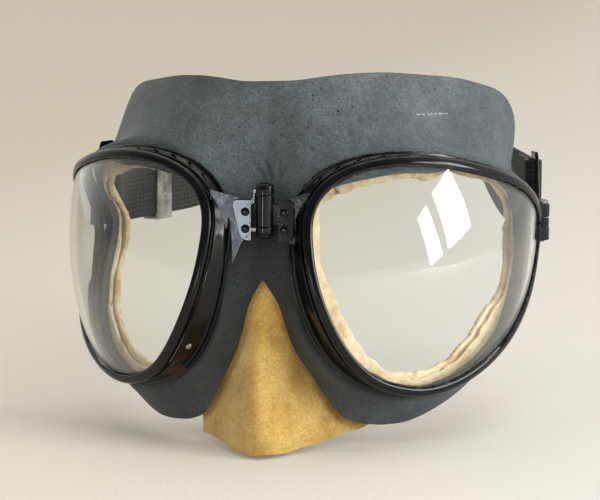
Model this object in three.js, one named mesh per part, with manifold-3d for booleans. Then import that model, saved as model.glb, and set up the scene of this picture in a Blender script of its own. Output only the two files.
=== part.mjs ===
// Pilot goggles: two deep metal eyecups with toric lenses, hinged at the bridge, on a rubber face mask.
// Millimetres, +Z up. The front faces -Y and +X is the viewer's right.
// The origin is where the wearer's nose bridge meets the mask, level with the lens centres.
import * as THREE from 'three';
import { mergeVertices } from 'three/addons/utils/BufferGeometryUtils.js';
import Module from 'manifold-3d';

const wasm = await Module();
wasm.setup();

// Lens: a rounded outline that widens upwards and leans out, on a toric surface.
const LENS_HALF_WIDTH = 45;
const LENS_HALF_HEIGHT = 37;
const LENS_SQUARENESS = 2.3;
const LENS_TAPER = 0.33;
const LENS_SLANT = 0.16;
const LENS_RADIUS_ACROSS = 63;
const LENS_RADIUS_UP = 92;
const LENS_THICKNESS = 2;
const LENS_EDGE_INSET = 0.3;
const LENS_SEAT = 0.5;

// Where each lens stands: its middle, its turn round the face, its roll and its lean.
const NOSE_EDGE_X = 16.17;
const LENS_WRAP = 46;
const LENS_ROLL = 16;
const LENS_LEAN = 2;

// Rim: a channel with a rounded crown that holds the lens edge.
const RIM_LIP = 1.6;
const RIM_OUTER = 1.6;
const RIM_CROWN = 1.2;
const RIM_REAR = 3.2;
const RIM_CLEARANCE = 0.3;
const RIM_SPLIT = 0.9;

// Closing lugs, screw and strap tab at the temple.
const LUG_ANGLE = 38;
const LUG_OUT = 2.7;
const LUG_PROUD = 1.3;
const LUG_RADIUS = 2.4;
const LUG_HEIGHT = 4.4;
const TAB_KNUCKLE_HEIGHT = 2.8;
const LUG_GAP = 0.3;
const SCREW_RADIUS = 0.95;
const SCREW_HOLE_RADIUS = 1.1;
const SCREW_HEAD_RADIUS = 2;
const SCREW_HEAD_HEIGHT = 1.2;
const TAB_THICKNESS = 1.2;
const TAB_SLOT_LENGTH = 27.4;
const TAB_SLOT_WIDTH = 3.2;
const TAB_BAR = 2.2;
const TAB_END = 2.4;

// Eyecup shell: a wall that runs straight back from the rim to a flange.
const SHELL_INNER = 0.5;
const SHELL_THICKNESS = 0.9;
const SHELL_DEPTH_LEAST = 6;
const SHELL_DEPTH_EXTRA = 5;
const SHELL_DEEPEST_ANGLE = 225;
const SHELL_DEEP_SPREAD = 45;
const FLANGE_REACH_MEAN = 2.8;
const FLANGE_REACH_SWING = 0.3;
const FLANGE_THICKNESS = 1;
const VENT_COUNT = 9;
const VENT_LENGTH = 3.4;
const VENT_WIDTH = 1.1;
const VENT_FIRST_ANGLE = 76;
const VENT_LAST_ANGLE = 148;

// Bridge hinge. Its axis stands a little to the right of the middle, and its leaves hang lower than its barrel.
const HINGE_X = 2.2;
const HINGE_Z = 23.4;
const HINGE_STATION_ANGLE = 170;
const HINGE_IN_FRONT = 1.25;
const HINGE_RADIUS = 2.9;
const PIN_RADIUS = 1.1;
const PIN_BORE_RADIUS = 1.2;
const MIDDLE_KNUCKLE = 9.6;
const END_KNUCKLE = 2;
const KNUCKLE_GAP = 0.3;
const PIN_DOME = 1.5;
const LEAF_THICKNESS = 0.9;
const LEAF_HALF_HEIGHT = 6.6;
const LEAF_DROP = 3.2;
const LEAF_REACH = 9.2;
const LEAF_CORNER = 2.6;
const EAR_THICKNESS = 0.9;
const EAR_INNER = 4.6;
const EAR_TOP_RISE = 2.6;
const EAR_FOOT_DROP = 7.4;
const SEAT_GAP = 0.3;
const RIVET_X = 6.3;
const RIVET_SPREAD = 2.7;
const RIVET_RADIUS = 0.8;
const RIVET_HOLE_RADIUS = 0.95;
const RIVET_HEAD_RADIUS = 1.4;
const RIVET_HEAD_HEIGHT = 0.7;

// Rubber mask and its cream lining.
const MASK_THICKNESS = 2.4;
const MASK_EDGE_THICKNESS = 1.8;
const MASK_GAP = 0.36;
const MASK_LIP_INSIDE = 3.2;
const MASK_UNDER_FLANGE = 4.4;
const BRIDGE_HALF = 5;
const HEAD_HALF_WIDTH_TOP = 69;
const HEAD_HALF_WIDTH_CHEEK = 74;
const HEAD_LENGTH = 92;
const FACE_BEHIND_HINGE = 10.6;
const FOREHEAD_SLOPE = 0.12;
const FOREHEAD_FROM_Z = 25;
const CHEEK_LEVEL_Z = -20;
const TEMPLE_LEVEL_Z = 45;
const NOSE_BULGE = 4.6;
const NOSE_BULGE_HALF = 15;
const NOSE_BULGE_FROM_Z = 18;
const NOSE_BULGE_TO_Z = 44;
const MASK_TOP_Z = 65;
const ARCH_HEIGHT = 48.2;
const ARCH_CROWN_Z = 0.7;
const MASK_SHIFT = 1.5;
const MASK_SHIFT_FROM_X = 8;
const MASK_SHIFT_FULL_X = 30;
const MASK_TEMPLE_FROM_X = 60;
const MASK_TEMPLE_X = 69;
const MASK_TILT = 0.02;
const MASK_BROW_TILT = 0.012;
const MASK_TEMPLE_HEM = 1.2;
const MASK_SKIRT_STAND_OFF = 3.9;
const MASK_SKIRT_DROP = 2.5;
const LINING_GAP = 0.3;
const LINING_THICKNESS_MEAN = 3;
const LINING_THICKNESS_SWING = 1.4;
const LINING_INSIDE_MEAN = 7;
const LINING_INSIDE_SWING = 1.8;
const LINING_NOSE_INSIDE = 1.3;
const LINING_OUTSIDE = 1.2;
const LINING_NOSE_TRIM = 4.4;

// Nose guard.
const GUARD_THICKNESS = 1.1;
const GUARD_TOP_Z = 2;
const GUARD_BOTTOM_Z = -53.6;
const GUARD_LAP = 3.4;
const GUARD_GAP = 0.9;
const GUARD_BULGE = 16;
const GUARD_BULGE_FROM_Z = -4;
const GUARD_SWAY = 2;
const GUARD_LEFT_RISE = 1;
const GUARD_RIGHT_RISE = 6;
const GUARD_LEFT_TRIM = 2.6;
const GUARD_ROUNDNESS = 1.5;

// Strap.
const STRAP_WIDTH = 26;
const STRAP_THICKNESS = 1.5;
const STRAP_LAYER_GAP = 0.5;
const STRAP_BACK_Y = 195;
const STRAP_BACK_HALF = 40;
const STRAP_BACK_RISE = 14;
const STRAP_RISE_FROM_Y = 110;
const STRAP_STRAIGHT = 52;
const STRAP_LEAD = 45;
const STRAP_MEETS = 7;
const STRAP_TOE_IN = 19;
const STRAP_SEWN_TAIL = 20;
const STRAP_FREE_TAIL = 50;
const SLIDE_AT = 27;
const SLIDE_LENGTH = 9;
const SLIDE_METAL = 1.2;
const SLIDE_CLEARANCE = 0.4;
const SLIDE_BAR = 2.2;

const RING_STEPS = 48;
const ROUND_STEPS = 20;
const SMALL_ROUND_STEPS = 12;

const rad = THREE.MathUtils.degToRad;
const V = (x, y, z) => new THREE.Vector3(x, y, z);

// Materials.
const finish = (color, roughness, metalness = 0) => new THREE.MeshStandardMaterial({ color, roughness, metalness });
const enamel = () => finish(0x0d0e11, 0.22, 0.3);
const steel = () => finish(0x8d8a84, 0.4, 0.9);
const rubber = () => finish(0x3a3d41, 0.85);
const cream = () => finish(0xd9cdb0, 0.9);
const chamois = () => finish(0xb79a6a, 0.9);
const webbing = () => finish(0x1b1b1c, 0.9);
const glass = () => {
  const m = finish(0xdfe8ea, 0.05);
  m.transparent = true;
  m.opacity = 0.25;
  return m;
};

// Closed solids from rows of points.
function volumeOf(position, index) {
  let sum = 0;
  const a = V();
  const b = V();
  const c = V();
  for (let i = 0; i < index.length; i += 3) {
    a.fromArray(position, index[i] * 3);
    b.fromArray(position, index[i + 1] * 3);
    c.fromArray(position, index[i + 2] * 3);
    sum += a.dot(b.cross(c));
  }
  return sum / 6;
}

function solidFrom(position, index) {
  if (volumeOf(position, index) < 0) {
    for (let i = 0; i < index.length; i += 3) [index[i + 1], index[i + 2]] = [index[i + 2], index[i + 1]];
  }
  const geometry = new THREE.BufferGeometry();
  geometry.setAttribute('position', new THREE.Float32BufferAttribute(position, 3));
  geometry.setIndex(index);
  geometry.computeVertexNormals();
  return geometry;
}

// A section carried round a closed curve.
function ring(sections) {
  const rows = sections.length;
  const cols = sections[0].length;
  const position = sections.flat().flatMap((p) => p.toArray());
  const index = [];
  for (let i = 0; i < rows; i++) {
    const next = (i + 1) % rows;
    for (let j = 0; j < cols; j++) {
      const k = (j + 1) % cols;
      index.push(i * cols + j, next * cols + j, next * cols + k);
      index.push(i * cols + j, next * cols + k, i * cols + k);
    }
  }
  return solidFrom(position, index);
}

// A closed section carried along an open curve, with flat ends.
function bar(sections) {
  const rows = sections.length;
  const cols = sections[0].length;
  const position = sections.flat().flatMap((p) => p.toArray());
  const index = [];
  for (let i = 0; i + 1 < rows; i++) {
    for (let j = 0; j < cols; j++) {
      const k = (j + 1) % cols;
      index.push(i * cols + j, (i + 1) * cols + j, (i + 1) * cols + k);
      index.push(i * cols + j, (i + 1) * cols + k, i * cols + k);
    }
  }
  const last = (rows - 1) * cols;
  for (let j = 1; j + 1 < cols; j++) {
    index.push(0, j, j + 1);
    index.push(last, last + j + 1, last + j);
  }
  return solidFrom(position, index);
}

// A sheet with a front and a back grid and closed edges.
function sheet(front, back) {
  const rows = front.length;
  const cols = front[0].length;
  const position = [...front.flat(), ...back.flat()].flatMap((p) => p.toArray());
  const index = [];
  const behind = rows * cols;
  const quad = (a, b, c, d) => index.push(a, b, c, a, c, d);
  for (let i = 0; i + 1 < rows; i++) {
    for (let j = 0; j + 1 < cols; j++) {
      const a = i * cols + j;
      quad(a, a + 1, a + cols + 1, a + cols);
      quad(behind + a, behind + a + cols, behind + a + cols + 1, behind + a + 1);
    }
    const left = i * cols;
    const right = left + cols - 1;
    quad(left, left + cols, behind + left + cols, behind + left);
    quad(right, behind + right, behind + right + cols, right + cols);
  }
  const last = (rows - 1) * cols;
  for (let j = 0; j + 1 < cols; j++) {
    quad(j, behind + j, behind + j + 1, j + 1);
    quad(last + j, last + j + 1, behind + last + j + 1, behind + last + j);
  }
  return solidFrom(position, index);
}

// Joining and cutting.
function toSolid(geometry) {
  const clean = geometry.clone();
  clean.deleteAttribute('normal');
  clean.deleteAttribute('uv');
  const merged = mergeVertices(clean, 1e-4);
  return new wasm.Manifold(new wasm.Mesh({
    numProp: 3,
    vertProperties: new Float32Array(merged.attributes.position.array),
    triVerts: new Uint32Array(merged.index.array),
  }));
}

function fromSolid(solid) {
  const mesh = solid.getMesh();
  const geometry = new THREE.BufferGeometry();
  geometry.setAttribute('position', new THREE.Float32BufferAttribute(mesh.vertProperties, 3));
  geometry.setIndex(Array.from(mesh.triVerts));
  geometry.computeVertexNormals();
  return geometry;
}

// A round bar along Z between two heights.
function post(radius, low, high, x = 0, y = 0, steps = SMALL_ROUND_STEPS) {
  const g = new THREE.CylinderGeometry(radius, radius, high - low, steps);
  g.rotateX(Math.PI / 2);
  g.translate(x, y, (low + high) / 2);
  return g;
}

function block(x0, x1, y0, y1, z0, z1) {
  const g = new THREE.BoxGeometry(x1 - x0, y1 - y0, z1 - z0);
  g.translate((x0 + x1) / 2, (y0 + y1) / 2, (z0 + z1) / 2);
  return g;
}

// The lens outline and surface, in the eyecup's own frame: u outwards, d backwards, v up.
const power = (value) => Math.sign(value) * Math.abs(value) ** (2 / LENS_SQUARENESS);

function outline(t) {
  const v = LENS_HALF_HEIGHT * power(Math.sin(t));
  const share = v / LENS_HALF_HEIGHT;
  const u = LENS_HALF_WIDTH * power(Math.cos(t)) * (1 + LENS_TAPER * share) + LENS_SLANT * v;
  return [u, v];
}

const sagOf = (r, s) => r - Math.sqrt(r * r - s * s);
const sag = (u, v, inset = 0) =>
  inset + sagOf(LENS_RADIUS_ACROSS - inset, u) + sagOf(LENS_RADIUS_UP - inset, v);

// Evenly spaced stations round the outline, so that the corners aren't crowded.
const STATIONS = (() => {
  const fine = 2000;
  const points = [];
  const along = [0];
  for (let i = 0; i <= fine; i++) {
    const t = (i / fine) * 2 * Math.PI;
    const [u, v] = outline(t);
    points.push([t, u, v]);
    if (i) along.push(along[i - 1] + Math.hypot(u - points[i - 1][1], v - points[i - 1][2]));
  }
  const list = [];
  let k = 0;
  for (let i = 0; i < RING_STEPS; i++) {
    const want = (i / RING_STEPS) * along[fine];
    while (along[k + 1] < want) k++;
    const share = (want - along[k]) / (along[k + 1] - along[k]);
    list.push(points[k][0] + share * (points[k + 1][0] - points[k][0]));
  }
  return list;
})();

function station(t) {
  const step = 1e-3;
  const [u, v] = outline(t);
  const [ua, va] = outline(t - step);
  const [ub, vb] = outline(t + step);
  const length = Math.hypot(ub - ua, vb - va);
  const nu = (vb - va) / length;
  const nv = -(ub - ua) / length;
  const slope = (sag(u + nu * step, v + nv * step) - sag(u - nu * step, v - nv * step)) / (2 * step);
  const lean = Math.atan(slope);
  const swing = Math.cos(t);
  return { t, u, v, nu, nv, lean, swing, depth: sag(u, v) };
}

// A point out from the rim line and back from it.
const away = (s, out, back) => V(s.u + s.nu * out, s.depth + back, s.v + s.nv * out);
// A point in the lens's own slope: out along the glass and proud of it.
const slope = (s, out, proud) =>
  away(s, out * Math.cos(s.lean) + proud * Math.sin(s.lean), out * Math.sin(s.lean) - proud * Math.cos(s.lean));

const stations = STATIONS.map(station);
// The wall is deepest low on the nose side, where the cup stands off the cheek.
function shellDepth(s) {
  const turn = s.t - rad(SHELL_DEEPEST_ANGLE);
  const off = Math.atan2(Math.sin(turn), Math.cos(turn)) / rad(SHELL_DEEP_SPREAD);
  return SHELL_DEPTH_LEAST + SHELL_DEPTH_EXTRA * Math.exp(-off * off);
}
const flangeReach = (s) => FLANGE_REACH_MEAN - FLANGE_REACH_SWING * Math.sin(s.t);

// The eyecup's place on the right of the face.
const EYE_TURN = new THREE.Matrix4()
  .makeRotationFromEuler(new THREE.Euler(rad(LENS_LEAN), rad(LENS_ROLL), rad(LENS_WRAP), 'XZY'));
const noseEdge = away(station(rad(HINGE_STATION_ANGLE)), 0, 0).applyMatrix4(EYE_TURN);
const LENS_CENTRE_X = NOSE_EDGE_X - noseEdge.x;
const EYE = new THREE.Matrix4().makeTranslation(LENS_CENTRE_X, 0, 0).multiply(EYE_TURN);
const onFace = (p) => p.clone().applyMatrix4(EYE);
const faceGeometry = (g) => g.clone().applyMatrix4(EYE);

// Lens: rings of points from the edge to the middle, front and back.
function lensGeometry() {
  const shares = [1, 0.93, 0.78, 0.52, 0.26];
  const position = [];
  const index = [];
  const side = (inset) => {
    const base = position.length / 3;
    for (const share of shares) {
      for (const s of stations) {
        const edge = slope(s, -LENS_EDGE_INSET, -inset);
        const u = edge.x * share;
        const v = edge.z * share;
        position.push(u, sag(u, v, inset), v);
      }
    }
    position.push(0, sag(0, 0, inset), 0);
    return base;
  };
  const front = side(0);
  const back = side(LENS_THICKNESS);
  const n = RING_STEPS;
  const middle = shares.length * n;
  for (let i = 0; i < n; i++) {
    const j = (i + 1) % n;
    for (let k = 0; k + 1 < shares.length; k++) {
      const a = k * n + i;
      const b = k * n + j;
      const c = (k + 1) * n + j;
      const d = (k + 1) * n + i;
      index.push(front + a, front + b, front + c, front + a, front + c, front + d);
      index.push(back + a, back + c, back + b, back + a, back + d, back + c);
    }
    const inner = (shares.length - 1) * n;
    index.push(front + inner + i, front + inner + j, front + middle);
    index.push(back + inner + i, back + middle, back + inner + j);
    index.push(front + i, back + i, back + j, front + i, back + j, front + j);
  }
  return solidFrom(position, index);
}

// Rim: the channel section, its closing lugs, its split and the screw hole.
const lugStation = station(rad(LUG_ANGLE));
const lugAxis = onFace(slope(lugStation, LUG_OUT, LUG_PROUD));
const LUG_X = lugAxis.x;
const LUG_Y = lugAxis.y;
const LUG_Z = lugAxis.z;
const KNUCKLE_LOW = LUG_Z - TAB_KNUCKLE_HEIGHT / 2;
const KNUCKLE_HIGH = LUG_Z + TAB_KNUCKLE_HEIGHT / 2;
const LUG_LOW = KNUCKLE_LOW - LUG_GAP - LUG_HEIGHT;
const LUG_HIGH = KNUCKLE_HIGH + LUG_GAP + LUG_HEIGHT;

function rimSection(s) {
  const groove = LENS_THICKNESS + LENS_SEAT;
  return [
    slope(s, -RIM_LIP, RIM_CLEARANCE),
    slope(s, -RIM_LIP * 0.7, RIM_CROWN * 0.75),
    slope(s, 0, RIM_CROWN),
    slope(s, RIM_OUTER * 0.75, RIM_CROWN * 0.7),
    slope(s, RIM_OUTER, 0),
    slope(s, RIM_OUTER, -RIM_REAR * 0.8),
    slope(s, RIM_OUTER * 0.65, -RIM_REAR),
    slope(s, -RIM_LIP * 0.8, -RIM_REAR),
    slope(s, -RIM_LIP * 0.8, -groove),
    slope(s, 0, -groove),
    slope(s, 0, RIM_CLEARANCE),
  ];
}

// A web ties each lug to the outer wall of the channel.
function lugWeb(low, high, grow = 0) {
  const root = onFace(slope(lugStation, RIM_OUTER * 0.4, -RIM_REAR * 0.3));
  const run = Math.hypot(root.x - LUG_X, root.y - LUG_Y) + grow;
  const half = LUG_RADIUS * 0.8 + grow;
  const web = block(0, run, -half, half, low - grow, high + grow);
  web.rotateZ(Math.atan2(root.y - LUG_Y, root.x - LUG_X));
  web.translate(LUG_X, LUG_Y, 0);
  return web;
}

function rimGeometry() {
  let rim = toSolid(faceGeometry(ring(stations.map(rimSection))));
  for (const [low, high] of [[LUG_LOW, KNUCKLE_LOW - LUG_GAP], [KNUCKLE_HIGH + LUG_GAP, LUG_HIGH]]) {
    rim = rim.add(toSolid(post(LUG_RADIUS, low, high, LUG_X, LUG_Y))).add(toSolid(lugWeb(low, high)));
  }
  // The lugs leave the lens groove free.
  rim = rim.subtract(toSolid(faceGeometry(ring(stations.map((s) => [
    slope(s, 0, RIM_CLEARANCE),
    slope(s, -9, RIM_CLEARANCE),
    slope(s, -9, -LENS_THICKNESS - LENS_SEAT),
    slope(s, 0, -LENS_THICKNESS - LENS_SEAT),
  ])))));
  // The split lies level with the middle of the lugs, and the knuckle's place is kept free.
  const split = block(LUG_X - 9, LUG_X + 6, LUG_Y - 9, LUG_Y + 7, LUG_Z - RIM_SPLIT / 2, LUG_Z + RIM_SPLIT / 2);
  rim = rim.subtract(toSolid(split));
  const room = post(LUG_RADIUS + LUG_GAP, KNUCKLE_LOW - LUG_GAP, KNUCKLE_HIGH + LUG_GAP, LUG_X, LUG_Y);
  rim = rim.subtract(toSolid(room));
  rim = rim.subtract(toSolid(post(SCREW_HOLE_RADIUS, LUG_LOW - 1, LUG_HIGH + 1, LUG_X, LUG_Y)));
  return fromSolid(rim);
}

function screwGeometry() {
  const head = LUG_HIGH + LUG_GAP;
  const profile = [
    [0, LUG_LOW - 0.6],
    [SCREW_RADIUS * 0.8, LUG_LOW - 0.6],
    [SCREW_RADIUS, LUG_LOW - 0.2],
    [SCREW_RADIUS, head],
    [SCREW_HEAD_RADIUS, head],
    [SCREW_HEAD_RADIUS, head + SCREW_HEAD_HEIGHT * 0.5],
    [SCREW_HEAD_RADIUS * 0.7, head + SCREW_HEAD_HEIGHT * 0.9],
    [0, head + SCREW_HEAD_HEIGHT],
  ];
  const g = new THREE.LatheGeometry(profile.map(([x, y]) => new THREE.Vector2(x, y)), SMALL_ROUND_STEPS);
  g.rotateX(Math.PI / 2);
  g.translate(LUG_X, LUG_Y, 0);
  return g;
}

// Strap tab: a flat tapering plate with a slot and a bar, on a knuckle between the lugs.
const TAB_HALF = TAB_SLOT_LENGTH / 2 + TAB_END;
const TAB_MIDDLE_Z = LUG_Z + 6.5;
const TAB_NECK_Y = LUG_Y + 3.4;
const TAB_SLOT_Y = LUG_Y + 8.6;
const TAB_BAR_Y = TAB_SLOT_Y + TAB_SLOT_WIDTH + TAB_BAR / 2;
const TAB_TAIL_Y = TAB_SLOT_Y + TAB_SLOT_WIDTH + TAB_BAR;
const TAB_X = LUG_X - 0.8;
const TOE = rad(STRAP_TOE_IN);

// The tab swings in about the screw, in line with the strap.
function swungIn(g) {
  g.translate(-LUG_X, -LUG_Y, 0);
  g.rotateZ(TOE);
  g.translate(LUG_X, LUG_Y, 0);
  return g;
}

function tabGeometry() {
  const plan = new THREE.Shape();
  const low = TAB_MIDDLE_Z - TAB_HALF;
  const high = TAB_MIDDLE_Z + TAB_HALF;
  plan.moveTo(LUG_Y, KNUCKLE_LOW);
  plan.lineTo(TAB_NECK_Y - 0.6, KNUCKLE_LOW);
  plan.quadraticCurveTo(TAB_NECK_Y + 2, low, TAB_NECK_Y + 4.4, low);
  plan.lineTo(TAB_TAIL_Y - 1.4, low);
  plan.quadraticCurveTo(TAB_TAIL_Y, low, TAB_TAIL_Y, low + 1.4);
  plan.lineTo(TAB_TAIL_Y, high - 1.4);
  plan.quadraticCurveTo(TAB_TAIL_Y, high, TAB_TAIL_Y - 1.4, high);
  plan.lineTo(TAB_NECK_Y + 4.4, high);
  plan.quadraticCurveTo(TAB_NECK_Y + 2, high, TAB_NECK_Y - 0.6, KNUCKLE_HIGH);
  plan.lineTo(LUG_Y, KNUCKLE_HIGH);
  plan.closePath();
  const slot = new THREE.Path();
  const slotLow = TAB_MIDDLE_Z - TAB_SLOT_LENGTH / 2;
  const slotHigh = TAB_MIDDLE_Z + TAB_SLOT_LENGTH / 2;
  slot.moveTo(TAB_SLOT_Y, slotLow);
  slot.lineTo(TAB_SLOT_Y + TAB_SLOT_WIDTH, slotLow);
  slot.lineTo(TAB_SLOT_Y + TAB_SLOT_WIDTH, slotHigh);
  slot.lineTo(TAB_SLOT_Y, slotHigh);
  slot.closePath();
  plan.holes.push(slot);
  const plate = new THREE.ExtrudeGeometry(plan, { depth: TAB_THICKNESS, bevelEnabled: false, curveSegments: 5 });
  // The drawn plan lies in YZ and its thickness along X.
  plate.applyMatrix4(new THREE.Matrix4().set(0, 0, 1, TAB_X - TAB_THICKNESS / 2, 1, 0, 0, 0, 0, 1, 0, 0, 0, 0, 0, 1));
  const knuckle = post(LUG_RADIUS - 0.1, KNUCKLE_LOW, KNUCKLE_HIGH, LUG_X, LUG_Y);
  const hole = post(SCREW_HOLE_RADIUS, KNUCKLE_LOW - 1, KNUCKLE_HIGH + 1, LUG_X, LUG_Y);
  return fromSolid(toSolid(swungIn(plate)).add(toSolid(knuckle)).subtract(toSolid(hole)));
}

// Eyecup shell: the wall starts clear of the rim and ends in a flange, with vents and a hinge ear.
function shellFront(s) {
  const rear = RIM_OUTER * 0.65 * Math.sin(s.lean) + RIM_REAR * Math.cos(s.lean);
  const out = (RIM_OUTER * Math.cos(s.lean) - SHELL_INNER) / Math.sin(s.lean);
  const flank = RIM_OUTER * Math.sin(s.lean) + out * Math.cos(s.lean);
  return Math.min(rear, flank) + RIM_CLEARANCE;
}

function shellSection(s) {
  const front = shellFront(s);
  const back = shellDepth(s);
  const outer = SHELL_INNER + SHELL_THICKNESS;
  return [
    away(s, SHELL_INNER, front),
    away(s, outer, front + 0.2),
    away(s, outer, back - FLANGE_THICKNESS - 0.8),
    away(s, outer + 0.6, back - FLANGE_THICKNESS),
    away(s, flangeReach(s) - 0.3, back - FLANGE_THICKNESS),
    away(s, flangeReach(s), back - FLANGE_THICKNESS * 0.5),
    away(s, flangeReach(s) - 0.3, back),
    away(s, SHELL_INNER, back),
  ];
}

// The hinge stands just in front of the flange's edge on the nose side.
const hingeStation = station(rad(HINGE_STATION_ANGLE));
const HINGE_Y = onFace(away(hingeStation, flangeReach(hingeStation), shellDepth(hingeStation))).y - HINGE_IN_FRONT;
const LEAF_FRONT_Y = HINGE_Y - LEAF_THICKNESS / 2;
const LEAF_Z = HINGE_Z - LEAF_DROP;
const LEAF_LOW = LEAF_Z - LEAF_HALF_HEIGHT;
const LEAF_HIGH = LEAF_Z + LEAF_HALF_HEIGHT;
const EAR_FRONT_Y = LEAF_FRONT_Y + LEAF_THICKNESS + SEAT_GAP;
const EAR_BACK_Y = EAR_FRONT_Y + EAR_THICKNESS;
const EAR_OUTER = LENS_CENTRE_X * 0.26;

// A flat plate in the XZ plane from a drawn plan, between two depths.
function plateFrom(plan, front, thickness, segments) {
  const plate = new THREE.ExtrudeGeometry(plan, { depth: thickness, bevelEnabled: false, curveSegments: segments });
  plate.rotateX(Math.PI / 2);
  plate.translate(0, front + thickness, 0);
  return plate;
}

// A hole along Y for a rivet.
function rivetHole(x, z) {
  const hole = post(RIVET_HOLE_RADIUS, -4, 4);
  hole.rotateX(Math.PI / 2);
  hole.translate(x, EAR_FRONT_Y, z);
  return toSolid(hole);
}

// The hinge axis lies off the middle, so each side has its own distance to it.
function shellGeometry(side) {
  const axis = side * HINGE_X;
  let shell = toSolid(faceGeometry(ring(stations.map(shellSection))));
  for (let i = 0; i < VENT_COUNT; i++) {
    const s = station(rad(VENT_FIRST_ANGLE + ((VENT_LAST_ANGLE - VENT_FIRST_ANGLE) * i) / (VENT_COUNT - 1)));
    const at = (shellFront(s) + shellDepth(s) - FLANGE_THICKNESS) / 2;
    const slot = new THREE.BoxGeometry(6, VENT_WIDTH, VENT_LENGTH);
    slot.rotateY(-Math.atan2(s.nv, s.nu));
    const p = away(s, SHELL_INNER, at);
    slot.translate(p.x, p.y, p.z);
    shell = shell.subtract(toSolid(faceGeometry(slot)));
  }
  // Beside the hinge the flange gives way to a flat ear, and the leaf's place is kept free.
  const cut = block(axis - 2, axis + LEAF_REACH + 0.5, HINGE_Y - 12, EAR_FRONT_Y, LEAF_LOW - 0.6, LEAF_HIGH + 0.6);
  shell = shell.subtract(toSolid(cut));
  const plan = new THREE.Shape();
  plan.moveTo(axis + EAR_INNER, LEAF_LOW + 0.4);
  plan.lineTo(axis + EAR_INNER + 0.6, LEAF_LOW - 0.6);
  plan.lineTo(EAR_OUTER, LEAF_LOW - EAR_FOOT_DROP);
  plan.lineTo(EAR_OUTER, LEAF_HIGH + EAR_TOP_RISE);
  plan.lineTo(axis + EAR_INNER + 1.6, LEAF_HIGH - 0.4);
  plan.lineTo(axis + EAR_INNER, LEAF_HIGH - 1.8);
  plan.closePath();
  const ear = plateFrom(plan, EAR_FRONT_Y, EAR_THICKNESS, 4);
  const hollow = faceGeometry(ring(stations.map((s) => [
    away(s, SHELL_INNER, -6),
    away(s, SHELL_INNER, 20),
    away(s, -9, 20),
    away(s, -9, -6),
  ])));
  // The ear ends inside the flange, in front of the rubber.
  const rubberRoom = faceGeometry(ring(stations.map((s) => [
    away(s, -9, shellDepth(s) - 0.15),
    away(s, flangeReach(s) - 0.2, shellDepth(s) - 0.15),
    away(s, flangeReach(s) - 0.2, shellDepth(s) + 9),
    away(s, -9, shellDepth(s) + 9),
  ])));
  shell = shell.add(toSolid(ear).subtract(toSolid(hollow)).subtract(toSolid(rubberRoom)));
  // At the temple the wall is notched round the closing lugs.
  shell = shell.subtract(toSolid(post(LUG_RADIUS + LUG_GAP, LUG_LOW - LUG_GAP, LUG_HIGH + LUG_GAP, LUG_X, LUG_Y)));
  shell = shell.subtract(toSolid(lugWeb(LUG_LOW, LUG_HIGH, LUG_GAP)));
  for (const z of [LEAF_Z - RIVET_SPREAD, LEAF_Z + RIVET_SPREAD]) shell = shell.subtract(rivetHole(axis + RIVET_X, z));
  return fromSolid(shell);
}

// Hinge leaves: a plate in front of the ear, with knuckles round the pin.
const MIDDLE_LOW = HINGE_Z - MIDDLE_KNUCKLE / 2;
const MIDDLE_HIGH = HINGE_Z + MIDDLE_KNUCKLE / 2;
const BARREL_LOW = MIDDLE_LOW - KNUCKLE_GAP - END_KNUCKLE;
const BARREL_HIGH = MIDDLE_HIGH + KNUCKLE_GAP + END_KNUCKLE;

function leafGeometry(knuckles, side) {
  const axis = side * HINGE_X;
  const reach = axis + LEAF_REACH;
  const plan = new THREE.Shape();
  plan.moveTo(axis, LEAF_LOW);
  plan.lineTo(reach - LEAF_CORNER, LEAF_LOW);
  plan.quadraticCurveTo(reach, LEAF_LOW, reach, LEAF_LOW + LEAF_CORNER);
  plan.lineTo(reach, LEAF_HIGH - LEAF_CORNER);
  plan.quadraticCurveTo(reach, LEAF_HIGH, reach - LEAF_CORNER, LEAF_HIGH);
  plan.lineTo(axis, LEAF_HIGH);
  plan.closePath();
  let leaf = toSolid(plateFrom(plan, LEAF_FRONT_Y, LEAF_THICKNESS, 4));
  // The plate keeps clear of the other leaf's knuckles.
  const clear = post(HINGE_RADIUS + 0.4, LEAF_LOW - 9, LEAF_HIGH + 9, axis, HINGE_Y, ROUND_STEPS);
  leaf = leaf.subtract(toSolid(clear));
  for (const [a, b] of knuckles) {
    const armLow = Math.max(a, LEAF_LOW);
    const armHigh = Math.min(b, LEAF_HIGH);
    leaf = leaf.add(toSolid(post(HINGE_RADIUS, a, b, axis, HINGE_Y, ROUND_STEPS)));
    if (armHigh - armLow > 0.5) {
      const arm = block(axis, axis + HINGE_RADIUS + 1.2, LEAF_FRONT_Y, LEAF_FRONT_Y + LEAF_THICKNESS, armLow, armHigh);
      leaf = leaf.add(toSolid(arm));
    } else {
      // A knuckle above the plate is reached by a strip that rises from it.
      const from = axis + HINGE_RADIUS + 0.4;
      leaf = leaf.add(toSolid(block(from, from + 2.2, LEAF_FRONT_Y, LEAF_FRONT_Y + LEAF_THICKNESS, LEAF_HIGH - 1, b)));
      leaf = leaf.add(toSolid(block(axis, from + 1, LEAF_FRONT_Y, LEAF_FRONT_Y + LEAF_THICKNESS, a, b)));
    }
  }
  leaf = leaf.subtract(toSolid(post(PIN_BORE_RADIUS, BARREL_LOW - 2, BARREL_HIGH + 2, axis, HINGE_Y, ROUND_STEPS)));
  for (const z of [LEAF_Z - RIVET_SPREAD, LEAF_Z + RIVET_SPREAD]) leaf = leaf.subtract(rivetHole(axis + RIVET_X, z));
  const g = fromSolid(leaf);
  if (side < 0) {
    g.applyMatrix4(new THREE.Matrix4().makeScale(-1, 1, 1));
    return solidFrom(Array.from(g.attributes.position.array), Array.from(g.index.array));
  }
  return g;
}

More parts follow.
